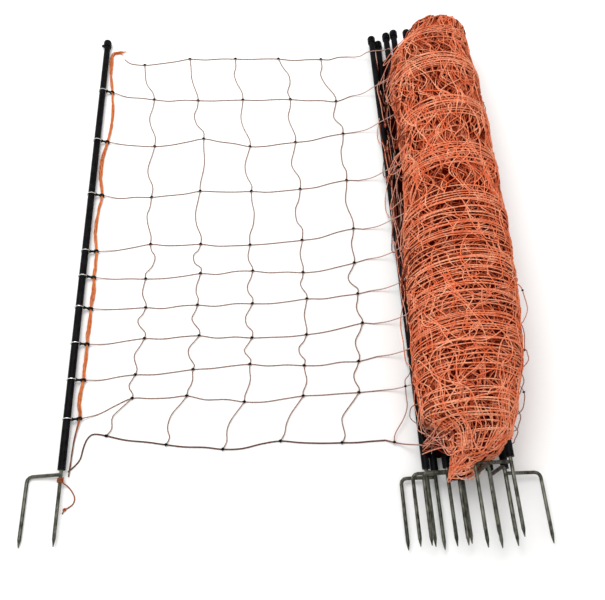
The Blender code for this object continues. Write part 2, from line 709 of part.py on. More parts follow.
def build():
    clear_scene()
    plastic = make_material("black plastic", (0.012, 0.012, 0.013), 0.38)
    steel = make_material("galvanised steel", (0.42, 0.41, 0.36), 0.42, 1.0)
    wire = make_material("bright wire", (0.62, 0.62, 0.60), 0.3, 1.0)
    orange = make_material("orange strand", (0.70, 0.20, 0.06), 0.7)
    netting = make_material("net strand", (0.33, 0.17, 0.11), 0.75)
    twine = make_material("tie twine", (0.40, 0.18, 0.09), 0.8)

    roll = add_empty("roll", (0, 0, 0))
    panel = add_empty("panel_fold", FOLD_AXIS, roll)
    end = add_empty("end_post_turn", (END_POST_X, POST_FOOT_Y, END_AXIS_Z), panel)

    place("roll_core", core_mesh(), orange, roll)
    least = []
    for row in range(len(ROW_HEIGHTS)):
        route = roll_strand_route(row)
        least.append(least_self_gap(route, ROLL_STRAND_DIAMETER))
        name = f"roll_strand_{row + 1:02d}"
        place(name, tube_curve(name, route, ROLL_STRAND_DIAMETER, 1), orange, roll)
    print("least gap of an outer strand to itself, mm:", round(1000 * min(least), 2))

    post, foot, cap = post_mesh(), foot_mesh(), cap_mesh()
    for number, (x, z, slip) in enumerate(BUNDLE_POSTS, 1):
        foot_y = ROLL_FOOT_Y + slip
        prong_turn = (0, -math.radians(PRONG_TURNS_DEG[number - 1]), 0)
        lug_turn = (0, -math.radians(ROLL_LUG_TURN_DEG), 0)
        place(f"roll_post_{number}", post, plastic, roll, (x, foot_y, z))
        place(f"roll_foot_{number}", foot.copy(), steel, roll, (x, foot_y, z), prong_turn)
        place(f"roll_cap_{number}", cap.copy(), plastic, roll, (x, foot_y + POST_LENGTH, z), lug_turn)

    place("net_panel", net_mesh(), netting, panel)
    place("edge_cord", tube_curve("edge_cord", edge_cord_route(), EDGE_CORD_DIAMETER, 2), orange, panel)
    tie = foot_tie_route()
    print("least gap of the foot tie to itself, mm:", round(1000 * least_self_gap(tie, TIE_DIAMETER), 2))
    place("foot_tie", tube_curve("foot_tie", tie, TIE_DIAMETER, 1), twine, panel)
    clip, ring = clip_mesh(), ring_curve()
    for index, height in enumerate(CLIP_HEIGHTS):
        y = POST_FOOT_Y + height
        turn = (0, 0, math.radians(CLIP_TURNS_DEG[index]))
        place(f"strand_clip_{index + 1}", clip, plastic, panel, (END_POST_X + RING_WIRE_X, y, END_AXIS_Z), turn)
        place(f"clip_ring_{index + 1}", ring, wire, panel, (END_POST_X + RING_OFFSET, y, END_AXIS_Z))

    top_y = POST_FOOT_Y + POST_LENGTH
    place("end_post", post, plastic, end, (END_POST_X, POST_FOOT_Y, END_AXIS_Z))
    lug_turn = (0, -math.radians(END_LUG_TURN_DEG), 0)
    place("end_cap", cap, plastic, end, (END_POST_X, top_y, END_AXIS_Z), lug_turn)
    foot_turn = (0, math.pi - PRONG_DROP, 0)
    place("end_foot", foot, steel, end, (END_POST_X, POST_FOOT_Y, END_AXIS_Z), foot_turn)


build()
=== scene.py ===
"""Looks of a roll of poultry netting, partly unrolled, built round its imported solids.

The file is laid out as an add-on. Property groups hold the sizes, colours and studio values, each operator
makes one piece or one group of like pieces, and main() calls them in order. Metres, +Z up.
"""
import json
import math

import bpy
import numpy as np
from bpy.props import FloatProperty, FloatVectorProperty, IntProperty, PointerProperty
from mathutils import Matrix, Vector, geometry
from mathutils.bvhtree import BVHTree

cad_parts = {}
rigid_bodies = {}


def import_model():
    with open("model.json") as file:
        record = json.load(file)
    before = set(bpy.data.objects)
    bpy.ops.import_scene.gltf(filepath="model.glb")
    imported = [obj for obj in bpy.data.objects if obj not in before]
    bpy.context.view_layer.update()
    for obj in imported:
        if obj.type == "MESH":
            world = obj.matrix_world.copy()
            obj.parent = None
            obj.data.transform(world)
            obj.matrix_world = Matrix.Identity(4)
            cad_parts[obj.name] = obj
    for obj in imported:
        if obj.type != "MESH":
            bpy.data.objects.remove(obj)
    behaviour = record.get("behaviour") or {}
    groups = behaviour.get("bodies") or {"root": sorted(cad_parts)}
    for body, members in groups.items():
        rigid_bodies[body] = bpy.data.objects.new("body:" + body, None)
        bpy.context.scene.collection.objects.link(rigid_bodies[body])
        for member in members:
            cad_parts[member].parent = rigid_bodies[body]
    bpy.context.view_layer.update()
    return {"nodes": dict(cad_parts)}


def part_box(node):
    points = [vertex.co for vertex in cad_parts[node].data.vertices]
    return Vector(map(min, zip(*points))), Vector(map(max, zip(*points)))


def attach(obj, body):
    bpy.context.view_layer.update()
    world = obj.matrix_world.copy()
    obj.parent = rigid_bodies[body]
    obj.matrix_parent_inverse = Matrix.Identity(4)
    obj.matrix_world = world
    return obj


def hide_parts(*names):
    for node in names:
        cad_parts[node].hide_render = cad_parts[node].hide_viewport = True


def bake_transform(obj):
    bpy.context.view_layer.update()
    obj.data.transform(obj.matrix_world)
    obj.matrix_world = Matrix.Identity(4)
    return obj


bl_info = {
    "name": "Poultry Netting Roll",
    "version": (1, 0, 0),
    "blender": (4, 5, 0),
    "location": "View3D > Sidebar > Netting",
    "description": "Dresses a partly unrolled roll of poultry netting with strands, knots and cords",
    "category": "Object",
}

for leftover in list(bpy.data.objects):
    bpy.data.objects.remove(leftover, do_unlink=True)
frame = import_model()
UP = (0, 0, 1)
DECIMETRE = 0.1
FLOOR_GAP = 0.0004


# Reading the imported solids

def nodes_named(*starts):
    return [name for name in frame["nodes"] if name.startswith(starts)]


def node_points(name):
    """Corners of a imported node's mesh, one row each."""
    vertices = frame["nodes"][name].data.vertices
    points = np.empty(3 * len(vertices))
    vertices.foreach_get("co", points)
    return points.reshape(-1, 3)


def node_middle(name):
    low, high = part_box(name)
    return np.array((low + high) / 2)


ROWS = sorted(nodes_named("roll_strand_"))
ROLL_POSTS = sorted(nodes_named("roll_post_"))
CLIPS = sorted(nodes_named("strand_clip_"))
POST_LOW, POST_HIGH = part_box("end_post")
POST_RADIUS = float(POST_HIGH.x - POST_LOW.x) / 2
POST_FOOT_Y = float(POST_LOW.y)
END_POST_X, _, END_POST_Z = map(float, node_middle("end_post"))
FOLD_X = float(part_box("net_panel")[1].x)


# Settings

def length(name, description, default):
    return FloatProperty(
        name=name, description=description, default=default, min=0, unit="LENGTH", precision=4
    )


def count(name, description, default, least=0):
    return IntProperty(name=name, description=description, default=default, min=least)


def amount(name, description, default, least=0, unit="NONE"):
    return FloatProperty(name=name, description=description, default=default, min=least, unit=unit)


def angle(name, description, degrees):
    return FloatProperty(
        name=name, description=description, default=math.radians(degrees), subtype="ANGLE"
    )


def colour(name, description, default):
    return FloatVectorProperty(
        name=name, description=description, default=default, size=3, min=0, max=1, subtype="COLOR"
    )


class NettingSizes(bpy.types.PropertyGroup):
    """Sizes and counts of the strands."""
    net_strand: length("Net strand", "Thickness of a strand of the flat net", 0.0022)
    ground_strand: length("Ground strand", "Thickness of the bottom strand of the flat net", 0.0030)
    knot: length("Knot", "Width of a moulded knot of the flat net", 0.0062)
    strand_wave: length("Strand wave", "How far a slack strand wanders between two knots", 0.0100)
    roll_strand: length("Roll strand", "Thickness of a strand wound on the roll", 0.0023)
    row_turns: count("Turns of a row", "Turns that each row makes round the roll", 20, 2)
    band_spread: length("Band spread", "How far the turns of one row spread along the roll", 0.028)
    layer_depth: length("Layer depth", "Depth of the strands that show on the roll", 0.013)
    gap_columns: count("Columns in a gap", "Upright strands in a decimetre between two rows", 165, 1)
    inner_columns: count("Inner columns", "Upright strands in a decimetre under the outer ones", 170)
    tangles: count("Tangles", "Slack strands that lie across the roll", 320)
    inner_tangles: count("Inner tangles", "Slack strands under the outer ones of the roll", 900)
    end_strands: count("End strands", "Strands across each end of the roll", 46)
    cord_filaments: count("Cord filaments", "Filaments of the edge cord", 9, 3)
    cord_filament: length("Cord filament", "Thickness of one filament of the edge cord", 0.0019)
    tie: length("Tie twine", "Thickness of the twine round the end spike", 0.0024)


class NettingColours(bpy.types.PropertyGroup):
    """Colours of the strands, plastic and steel."""
    strand_pale: colour("Pale strand", "Sunlit strands on the roll", (1.0, 0.56, 0.35))
    strand_main: colour("Strand", "Strands on the roll", (0.68, 0.072, 0.006))
    # Painted shade: dark colour that strands inside the roll are mixed towards, standing in for the shadow
    # between the layers
    strand_inner_shade: colour("Deep strand", "Strands inside the roll", (0.088, 0.0012, 0.0002))
    # Painted shade: near-black colour of the flattened net under the posts, standing in for the shadow there
    strand_shade: colour("Shaded strand", "Net pressed under the posts", (0.010, 0.0012, 0.0010))
    strand_fleck: colour("Strand fleck", "Dark conductor in a strand", (0.34, 0.045, 0.010))
    strand_faded: colour("Faded strand", "Strands from the flat net to the roll", (0.52, 0.36, 0.31))
    net_pale: colour("Pale net strand", "Faded stretches of the flat net", (0.36, 0.22, 0.17))
    net_main: colour("Net strand", "Strands of the flat net", (0.23, 0.125, 0.09))
    net_fleck: colour("Net fleck", "Dark conductor in the flat net", (0.06, 0.035, 0.03))
    ground_main: colour("Ground strand", "Bottom strand of the flat net", (0.085, 0.035, 0.028))
    cord_pale: colour("Pale cord", "Raised filaments of the edge cord", (0.74, 0.27, 0.10))
    cord_main: colour("Cord", "Filaments of the edge cord", (0.55, 0.145, 0.042))
    twine_main: colour("Twine", "Twine of the foot tie", (0.22, 0.065, 0.026))
    plastic: colour("Plastic", "Posts, caps, clips and knots", (0.0022, 0.0022, 0.0025))
    plastic_worn: colour("Worn plastic", "Scuffed plastic", (0.012, 0.012, 0.014))
    steel: colour("Steel", "Spikes and step bars", (0.112, 0.112, 0.088))
    steel_worn: colour("Worn steel", "Dark streaks on the spikes", (0.016, 0.017, 0.011))
    wire: colour("Wire", "Rings on the end post", (0.72, 0.72, 0.69))
    wire_worn: colour("Worn wire", "Dull spots on the rings", (0.40, 0.40, 0.38))
    floor: colour("Floor", "Studio floor", (0.94, 0.94, 0.93))


class NettingStudio(bpy.types.PropertyGroup):
    """Camera and light."""
    target: FloatVectorProperty(
        name="Target", description="Point at the middle of the picture", size=3,
        default=(-0.3202, -0.2146, 0), subtype="TRANSLATION", unit="LENGTH"
    )
    turn: angle("Turn", "Camera's turn about the target", -2.70)
    rise: angle("Rise", "Camera's height angle over the floor", 62)
    distance: length("Distance", "From the camera to the target", 1.5502)
    lens: amount("Lens", "Focal length in millimetres", 43.345, 1, "CAMERA")
    sky: amount("Sky", "Strength of the even light from all round", 0.95)
    key_power: amount("Key light", "Power of the large light in watts", 30, unit="POWER")


# Curves and meshes

def smooth_path(points, step):
    """Points about a step apart along a smooth curve through a few points."""
    through = np.asarray(points, float)
    ends = np.vstack([2 * through[0] - through[1], through, 2 * through[-1] - through[-2]])
    path = []
    for before, start, stop, after in zip(ends, ends[1:], ends[2:], ends[3:]):
        stretches = max(1, round(np.linalg.norm(stop - start) / step))
        t = (np.arange(stretches) / stretches)[:, None]
        path.append(
            0.5 * (2 * start + (stop - before) * t
                   + (2 * before - 5 * start + 4 * stop - after) * t ** 2
                   + (3 * start - before - 3 * stop + after) * t ** 3)
        )
    return np.vstack(path + [through[-1:]])


def smooth_step(share):
    share = np.clip(share, 0, 1)
    return share * share * (3 - 2 * share)


def wander(rng, t, size, cycles):
    """Smooth random offsets along a strand: three waves about a number of cycles per unit of t."""
    total = np.zeros_like(t)
    for share in (0.55, 1.0, 1.7):
        phase = rng.uniform(0, math.tau)
        total += np.sin(math.tau * cycles * share * t + phase) / (1 + share)
    return size * total


def unit(vectors):
    return vectors / (np.linalg.norm(vectors, axis=1)[:, None] + 1e-12)


def run_along(path):
    """Distance of each point of a path from its start, measured along it."""
    return np.concatenate([[0.0], np.cumsum(np.linalg.norm(np.diff(path, axis=0), axis=1))])


def resting(thickness):
    """Height of a strand's middle line over the surface that the strand rests on."""
    return thickness / 2 + FLOOR_GAP


def off_floor(points, thickness):
    """Points of a strand, raised where it would sink into the floor."""
    points[:, 2] = np.maximum(points[:, 2], resting(thickness))
    return points


def full_turn(places):
    return np.linspace(0, math.tau, places, endpoint=False)


def tube_faces(rings, around, first=0):
    """Walls between rings of points, and a cap on each end."""
    here = first + np.arange(rings - 1)[:, None] * around + np.arange(around)
    beside = np.roll(here, -1, axis=1)
    walls = np.stack([here, here + around, beside + around, beside], axis=-1).reshape(-1, 4).tolist()
    last = first + (rings - 1) * around
    return walls + [list(range(first, first + around)), list(range(last + around - 1, last - 1, -1))]


def mesh_piece(name, points, faces, material, values=None, smooth=True):
    """Object of points and faces, which may carry named values at its points."""
    mesh = bpy.data.meshes.new(name)
    mesh.from_pydata(points, [], faces)
    for key, numbers in (values or {}).items():
        layer = mesh.attributes.new(key, "FLOAT", "POINT")
        layer.data.foreach_set("value", numbers.astype(np.float32))
    if smooth:
        mesh.shade_smooth()
    mesh.materials.append(material)
    piece = bpy.data.objects.new(name, mesh)
    bpy.context.scene.collection.objects.link(piece)
    return piece


class StrandMesh:
    """Round strands gathered into one mesh, which carries their tone, depth, fading and run at its points."""

    # The depth value is the share of the deep colour, which on the roll's strands is painted shade
    VALUES = ("tone", "depth", "faded", "run")
    # Least slant of a strand to its up direction, and the direction that stands in below that
    LEAST_SLANT = 0.05
    OTHER_UP = (0.3, 0.5, 0.8)

    def __init__(self, sides):
        self.sides = sides
        self.count = 0
        self.points = []
        self.faces = []
        self.values = {key: [] for key in self.VALUES}

    def add(self, path, thickness, up, tone=0.5, depth=0.0, faded=0.0):
        """Tube along a path, closed at both ends; up points out of the surface that the strand lies on."""
        rings = len(path)
        along = unit(np.gradient(path, axis=0))
        side = np.cross(along, np.broadcast_to(up, path.shape))
        flat = np.linalg.norm(side, axis=1) < self.LEAST_SLANT
        side[flat] = np.cross(along[flat], self.OTHER_UP)
        side = unit(side)
        lift = np.cross(side, along)
        turn = full_turn(self.sides)[None, :, None]
        spokes = np.cos(turn) * side[:, None] + np.sin(turn) * lift[:, None]
        radius = np.broadcast_to(np.asarray(thickness, float) / 2, rings)
        self.points.append((path[:, None] + radius[:, None, None] * spokes).reshape(-1, 3))
        self.faces += tube_faces(rings, self.sides, self.count)
        for key, value in zip(self.VALUES, (tone, depth, faded, run_along(path))):
            self.values[key].append(np.repeat(np.broadcast_to(value, rings), self.sides))
        self.count += rings * self.sides

    def piece(self, name, finish):
        """One object of all the strands so far."""
        values = {key: np.concatenate(parts) for key, parts in self.values.items()}
        return mesh_piece(name, np.vstack(self.points), self.faces, finish_material(finish), values)


class RollShape:
    """Outside of the wound net and of the posts in it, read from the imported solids."""

    # Samples along the roll and round it, and points of the circles that a taut wrap is drawn over
    SAMPLES = 160
    TURNS = 180
    CIRCLE_POINTS = 48
    # Least number of the core's corners at one place along Y that make a ring of it
    RING_POINTS = 14
    # Height of the relief, its share under the core's outside, and the half width of a row's band
    RELIEF = 0.0030
    RELIEF_LEVEL = 0.6
    BAND = 0.026
    END_GAP = 0.004
    SEARCH_REACH = 0.02
    # At the foot the net slipped off the outer posts: where that starts and ends along Y, and what is left
    SLIP_Y = (-0.515, -0.553)
    SLIPPED_X = -0.012
    SLIPPED_REACH = 0.060
    SLIPPED_TAPER = (0.4, 0.55)
    # How far some rows, by number from the ground, hang lower at the fold, and the lowest one on the roll
    FOLD_DROPS = {0: 0.014, 1: 0.009, 9: 0.016}
    BAND_DROP = 0.018
    # Length of a row's end at the fold, whose points give its place there
    FOLD_END = 0.001

    def __init__(self):
        core = node_points("roll_core")
        places, counts = np.unique(np.round(core[:, 1], 4), return_counts=True)
        rings = [core[np.abs(core[:, 1] - y) < 1e-4] for y in places[counts >= self.RING_POINTS]]
        tops = np.array([ring[ring[:, 2].argmax()] for ring in rings])
        rights = np.array([ring[ring[:, 0].argmax()] for ring in rings])
        self.y = np.linspace(tops[0, 1], tops[-1, 1], self.SAMPLES)
        self.x = np.interp(self.y, tops[:, 1], tops[:, 0])
        self.z = np.interp(self.y, tops[:, 1], rights[:, 2])
        self.reach = np.interp(self.y, tops[:, 1], rights[:, 0] - tops[:, 0])
        self.slip_off_posts()
        self.rows = [self.row_place(row) for row in range(len(ROWS))]
        self.posts = np.array([node_middle(name)[[0, 2]] for name in ROLL_POSTS])
        self.hull = np.array([self.hull_reach(k) for k in range(self.SAMPLES)])
        self.hard = self.hard_surfaces()

    def slip_off_posts(self):
        """Draw the foot in towards the step bars, off the outer posts."""
        start, stop = self.SLIP_Y
        share = smooth_step((start - self.y) / (start - stop))
        past = np.maximum(stop - self.y, 0)
        self.x += share * (self.SLIPPED_X - self.SLIPPED_TAPER[0] * past - self.x)
        self.reach += share * (self.SLIPPED_REACH - self.SLIPPED_TAPER[1] * past - self.reach)

    def row_place(self, row):
        """Where a row leaves the fold and where it lies on the roll, along Y."""
        points = node_points(ROWS[row])
        start = points[points[:, 0] < points[:, 0].min() + self.FOLD_END]
        drop = self.FOLD_DROPS.get(row, 0.0)
        band_drop = self.BAND_DROP if row == 0 else 0.0
        return float(start[:, 1].mean()) - drop, float(points[points[:, 2].argmax(), 1]) - band_drop

    def hull_reach(self, k):
        """Reach of a taut wrap over the wound net and its posts, for each turn, at one place along Y."""
        ring = full_turn(self.CIRCLE_POINTS)
        circle = np.stack([np.cos(ring), np.sin(ring)], axis=1)
        middle = np.array([self.x[k], self.z[k]])
        rounds = [middle + self.reach[k] * circle] + [post + POST_RADIUS * circle for post in self.posts]
        points = np.vstack(rounds)
        corners = points[geometry.convex_hull_2d([Vector(point) for point in points])] - middle
        edges = np.roll(corners, -1, axis=0) - corners
        normals = np.stack([edges[:, 1], -edges[:, 0]], axis=1)
        normals *= np.sign((normals * corners).sum(1))[:, None]
        turns = full_turn(self.TURNS)
        facing = np.stack([np.cos(turns), np.sin(turns)], axis=1) @ normals.T
        away = (normals * corners).sum(1)[None, :]
        return np.where(facing > 1e-6, away / np.maximum(facing, 1e-6), np.inf).min(1)

    def wrap_reach(self, y, turn):
        """Reach of the taut wrap, read between its samples."""
        column = np.mod(turn, math.tau) / math.tau * self.TURNS
        place = np.interp(y, self.y, np.arange(self.SAMPLES))
        left, low = column.astype(int), np.minimum(place.astype(int), self.SAMPLES - 2)
        across, along = column - left, place - low
        left, right = left % self.TURNS, (left + 1) % self.TURNS
        near = self.hull[low, left] * (1 - across) + self.hull[low, right] * across
        far = self.hull[low + 1, left] * (1 - across) + self.hull[low + 1, right] * across
        return near * (1 - along) + far * along

    @staticmethod
    def hard_surfaces():
        """Posts, caps and spikes of the roll as one surface to keep strands out of."""
        corners, faces = [], []
        for name in nodes_named("roll_post_", "roll_cap_", "roll_foot_"):
            mesh = frame["nodes"][name].data
            faces += [[len(corners) + corner for corner in face.vertices] for face in mesh.polygons]
            corners += [vertex.co.copy() for vertex in mesh.vertices]
        return BVHTree.FromPolygons(corners, faces)

    def keep_clear(self, points, thickness):
        """Points moved out of the posts, caps and spikes, and off the floor."""
        clear = resting(thickness)
        for number, point in enumerate(points):
            near, normal, _, gap = self.hard.find_nearest(Vector(point), self.SEARCH_REACH)
            if near is not None and (gap < clear or (Vector(point) - near).dot(normal) < 0):
                points[number] = near + clear * normal
        return off_floor(points, thickness)

    def inside(self, y):
        """Places along Y, turned back where they would run past an end of the roll."""
        low, high = self.y[0] + self.END_GAP, self.y[-1] - self.END_GAP
        return high - np.abs(high - low - np.abs(y - low))

    def outward(self, turn):
        return np.stack([np.cos(turn), np.zeros_like(turn), np.sin(turn)], axis=-1)

    def relief(self, y):
        """The wound net stands up where a row lies and sinks between two rows."""
        bumps = sum(np.exp(-((y - place) / self.BAND) ** 2) for _, place in self.rows)
        return self.RELIEF * (np.minimum(bumps, 1) - self.RELIEF_LEVEL)

    def surface(self, y, turn, depth=0.0, cover=0.0, thickness=0.0):
        """Points under the outside of the wound net, or with cover 1 under a taut wrap over its posts too."""
        y, turn, depth = np.broadcast_arrays(y, turn, depth)
        reach = np.interp(y, self.y, self.reach)
        if np.any(cover):
            reach = reach + cover * np.maximum(self.wrap_reach(y, turn) - reach, 0)
        reach = reach + self.relief(y) - depth
        middle = np.stack([np.interp(y, self.y, self.x), y, np.interp(y, self.y, self.z)], axis=-1)
        points = middle + reach[..., None] * self.outward(turn)
        for post in self.posts:
            away = points[:, [0, 2]] - post
            gap = np.linalg.norm(away, axis=1)[:, None] + 1e-9
            clear = POST_RADIUS + thickness / 2 + FLOOR_GAP
            points[:, [0, 2]] = np.where(gap < clear, post + away / gap * clear, points[:, [0, 2]])
        return off_floor(points, thickness)


ROLL = RollShape()


# Finishes

def add_node(tree, kind, settings=None, values=None):
    """Shader node with its settings, and with its inputs given as numbers or as sockets to link."""
    node = tree.nodes.new(kind)
    for key, value in (settings or {}).items():
        setattr(node, key, value)
    for key, value in (values or {}).items():
        if isinstance(value, bpy.types.NodeSocket):
            tree.links.new(value, node.inputs[key])
        else:
            node.inputs[key].default_value = value
    return node


def mixed(tree, share, first, second):
    values = {"Factor": share, "A": first, "B": second}
    return add_node(tree, "ShaderNodeMix", {"data_type": "RGBA"}, values).outputs["Result"]


def math_node(tree, operation, *values):
    return add_node(tree, "ShaderNodeMath", {"operation": operation}, dict(enumerate(values))).outputs[0]


def noise(tree, place, scale, detail, roughness=0.5):
    values = {"Vector": place, "Scale": scale, "Detail": detail, "Roughness": roughness}
    return add_node(tree, "ShaderNodeTexNoise", None, values).outputs["Fac"]


def strand_effect(group, given):
    """Twisted strand: tone from strand to strand, dark flecks along it, and the deep colour mixed in by each
    point's depth value, which is painted shade on the strands inside the roll.
    """
    tone, depth, faded, run = (
        add_node(group, "ShaderNodeAttribute", {"attribute_name": name}).outputs["Fac"]
        for name in StrandMesh.VALUES
    )
    place = add_node(group, "ShaderNodeTexCoord").outputs["Object"]
    patches = noise(group, place, 55.0, 3.0, 0.6)
    fibres = noise(group, place, 700.0, 2.0, 0.7)
    pale = math_node(group, "MULTIPLY", tone, math_node(group, "MULTIPLY_ADD", patches, 1.6, -0.25))
    twist = math_node(group, "SINE", math_node(group, "MULTIPLY", run, given["Lay"]))
    lay = math_node(group, "MULTIPLY_ADD", twist, 0.5, 0.5)
    specks = math_node(group, "MULTIPLY", math_node(group, "POWER", lay, 3.0), given["Flecks"])
    specks = math_node(group, "MULTIPLY", specks, math_node(group, "MULTIPLY_ADD", fibres, 1.4, 0.1))
    strand = mixed(group, pale, given["Main"], given["Pale"])
    weathered = mixed(group, faded, strand, given["Faded"])
    flecked = mixed(group, specks, weathered, given["Fleck"])
    return (
        mixed(group, depth, flecked, given["Deep"]),
        math_node(group, "MULTIPLY_ADD", fibres, 0.3, 0.42),
        math_node(group, "ADD", lay, fibres),
    )


def wear_effect(group, given):
    """Handled surface: worn patches and streaks along the piece, with its roughness and fine relief."""
    place = add_node(group, "ShaderNodeTexCoord").outputs["Object"]
    stretch = add_node(group, "ShaderNodeCombineXYZ", None, {"X": 1.0, "Y": given["Streak"], "Z": 1.0})
    factors = {0: place, 1: stretch.outputs["Vector"]}
    drawn = add_node(group, "ShaderNodeVectorMath", {"operation": "MULTIPLY"}, factors).outputs[0]
    streaks = noise(group, drawn, 420.0, 4.0, 0.65)
    patches = noise(group, place, 60.0, 5.0, 0.6)
    grain = noise(group, place, 1500.0, 2.0)
    span = {"Value": math_node(group, "ADD", streaks, patches), "From Min": 0.82, "From Max": 1.22}
    step = {"interpolation_type": "SMOOTHSTEP"}
    marks = add_node(group, "ShaderNodeMapRange", step, span).outputs["Result"]
    share = math_node(group, "MULTIPLY", marks, given["Wear"])
    spread = math_node(group, "SUBTRACT", given["Dull"], given["Smooth"])
    return (
        mixed(group, share, given["Clean"], given["Worn"]),
        math_node(group, "MULTIPLY_ADD", share, spread, given["Smooth"]),
        math_node(group, "ADD", marks, grain),
    )


# Shared effects: colours and numbers that each takes in, and the function that wires it
EFFECTS = {
    "twisted strand": (("Pale", "Main", "Deep", "Fleck", "Faded"), ("Flecks", "Lay"), strand_effect),
    "handled surface": (("Clean", "Worn"), ("Wear", "Streak", "Smooth", "Dull"), wear_effect),
}


def strand_look(slot, pale, main, deep, fleck, flecks, lay):
    return "twisted strand", slot, (pale, main, deep, fleck, "strand_faded"), (flecks, lay), (0.35, 0.0, 0.0)


# Finishes: shared effect, record slot, colours, numbers, and the strength of relief, metal and gloss
FINISHES = {
    "orange strand": strand_look(
        "orange_strand", "strand_pale", "strand_main", "strand_inner_shade", "strand_fleck", 0.45, 850.0
    ),
    # Painted shade: near-black finish of the flattened net under the posts
    "shaded strand": strand_look(
        "orange_strand", "strand_inner_shade", "strand_shade", "strand_shade", "strand_shade", 0.4, 850.0
    ),
    "net strand": strand_look("net_strand", "net_pale", "net_main", "net_fleck", "net_fleck", 0.55, 700.0),
    "ground strand": strand_look(
        "net_strand", "net_main", "ground_main", "net_fleck", "net_fleck", 0.8, 600.0
    ),
    "cord filament": strand_look(
        "orange_strand", "cord_pale", "cord_main", "ground_main", "strand_fleck", 0.35, 500.0
    ),
    "tie twine": strand_look(
        "tie_twine", "cord_main", "twine_main", "ground_main", "ground_main", 0.7, 1500.0
    ),
    "black plastic": (
        "handled surface", "black_plastic", ("plastic", "plastic_worn"),
        (0.6, 0.12, 0.30, 0.62), (0.12, 0.0, 0.03)
    ),
    "galvanised steel": (
        "handled surface", "galvanised_steel", ("steel", "steel_worn"),
        (0.95, 0.05, 0.34, 0.68), (0.25, 0.75, 0.5)
    ),
    "bright wire": (
        "handled surface", "bright_wire", ("wire", "wire_worn"),
        (0.5, 1.0, 0.22, 0.45), (0.1, 1.0, 0.5)
    ),
}
RELIEF_HEIGHT = 0.0004


def effect_group(name):
    """Shader group of a shared effect, built once, with its inputs and the outputs that every finish uses."""
    if name in bpy.data.node_groups:
        return bpy.data.node_groups[name]
    tints, numbers, wire = EFFECTS[name]
    group = bpy.data.node_groups.new(name, "ShaderNodeTree")
    for side, kind, sockets in (
        ("INPUT", "NodeSocketColor", tints), ("INPUT", "NodeSocketFloat", numbers),
        ("OUTPUT", "NodeSocketColor", ("Colour",)), ("OUTPUT", "NodeSocketFloat", ("Roughness", "Height")),
    ):
        for socket in sockets:
            group.interface.new_socket(name=socket, in_out=side, socket_type=kind)
    given = group.nodes.new("NodeGroupInput").outputs
    result = group.nodes.new("NodeGroupOutput").inputs
    for socket, value in zip(("Colour", "Roughness", "Height"), wire(group, given)):
        group.links.new(value, result[socket])
    return group


def solid(tint):
    return (*tint, 1.0)


def finish_material(name):
    """Principled material of a finish, whose colour, roughness and relief come from its shared effect."""
    if name in bpy.data.materials:
        return bpy.data.materials[name]
    effect, _, tints, numbers, (bump, metallic, gloss) = FINISHES[name]
    tint_names, number_names, _ = EFFECTS[effect]
    colours = bpy.context.scene.netting_colours
    values = {socket: solid(getattr(colours, tint)) for socket, tint in zip(tint_names, tints)}
    values.update(zip(number_names, numbers))
    material = bpy.data.materials.new(name)
    material.use_nodes = True
    tree = material.node_tree
    look = add_node(tree, "ShaderNodeGroup", {"node_tree": effect_group(effect)}, values).outputs
    height = {"Strength": bump, "Distance": RELIEF_HEIGHT, "Height": look["Height"]}
    relief = add_node(tree, "ShaderNodeBump", None, height).outputs["Normal"]
    shader = tree.nodes["Principled BSDF"].inputs
    tree.links.new(look["Colour"], shader["Base Color"])
    tree.links.new(look["Roughness"], shader["Roughness"])
    tree.links.new(relief, shader["Normal"])
    shader["Metallic"].default_value = metallic
    shader["Specular IOR Level"].default_value = gloss
    return material


def paint_nodes(finish, *starts):
    """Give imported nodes, chosen by the start of their names, a finish in their own material slots."""
    names = nodes_named(*starts)
    if not names:
        raise RuntimeError(f"no packed node starts with {starts}")
    for name in names:
        materials = frame["nodes"][name].data.materials
        materials.clear()
        materials.append(finish_material(finish))


# Shapes shared by several pieces

# Height under the highest point of the flat net in which its knots' crowns lie
CROWN_DEPTH = 2e-4
# Reach of a clip's eye from its tip
EYE_REACH = 0.009
# Kinks of a slack column: share of the way from stop to stop, and step aside against its swing
KINKS = ((0.18, -0.30), (0.42, -0.95), (0.62, -0.75), (0.84, 0.10))
COLUMN_STEP = 0.006
# Barrels of a moulded knot: turn from the first one, and half length and girth against the knot's width
BARRELS = ((0.0, 0.62, 0.80), (math.pi / 2, 0.55, 0.74))
BARREL_POINTS = 7
# Share of the deep colour in the dark masses inside the roll, which is painted shade
MASS_SHADE = 0.95


def panel_knots():
    """Places of the flat net's knots, by row from the ground up and by column from the end post."""
    points = node_points("net_panel")
    crowns = np.unique(np.round(points[points[:, 2] > points[:, 2].max() - CROWN_DEPTH], 3), axis=0)
    by_height = crowns[crowns[:, 1].argsort()].reshape(len(ROWS), -1, 3)
    return np.array([row[row[:, 0].argsort()] for row in by_height])


def clip_eye(name):
    """Middle of a strand clip's eye."""
    points = node_points(name)
    tip = points[points[:, 0] > points[:, 0].max() - EYE_REACH]
    low, high = tip.min(0), tip.max(0)
    return np.array([high[0] - (high[2] - low[2]) / 2, (low[1] + high[1]) / 2, (low[2] + high[2]) / 2])


def at_post(points, lift):
    """Points given across from the end post's axis and up from its lower end, laid at a height."""
    return [np.array((END_POST_X + x, POST_FOOT_Y + y, lift)) for x, y in points]


def slack_column(rng, stops, wave):
    """From the first stop to the last, with the kinks of a strand that was wound up for long."""
    points = []
    for upper, lower in zip(stops, stops[1:]):
        points.append(upper)
        swing = rng.uniform(0.5, 1.9) * wave * (1 if rng.uniform() < 0.8 else -0.8)
        for share, side in KINKS:
            middle = upper + (share + rng.uniform(-0.05, 0.05)) * (lower - upper)
            points.append(middle + np.array([side * swing, 0, 0]))
    return smooth_path([*points, stops[-1]], COLUMN_STEP)


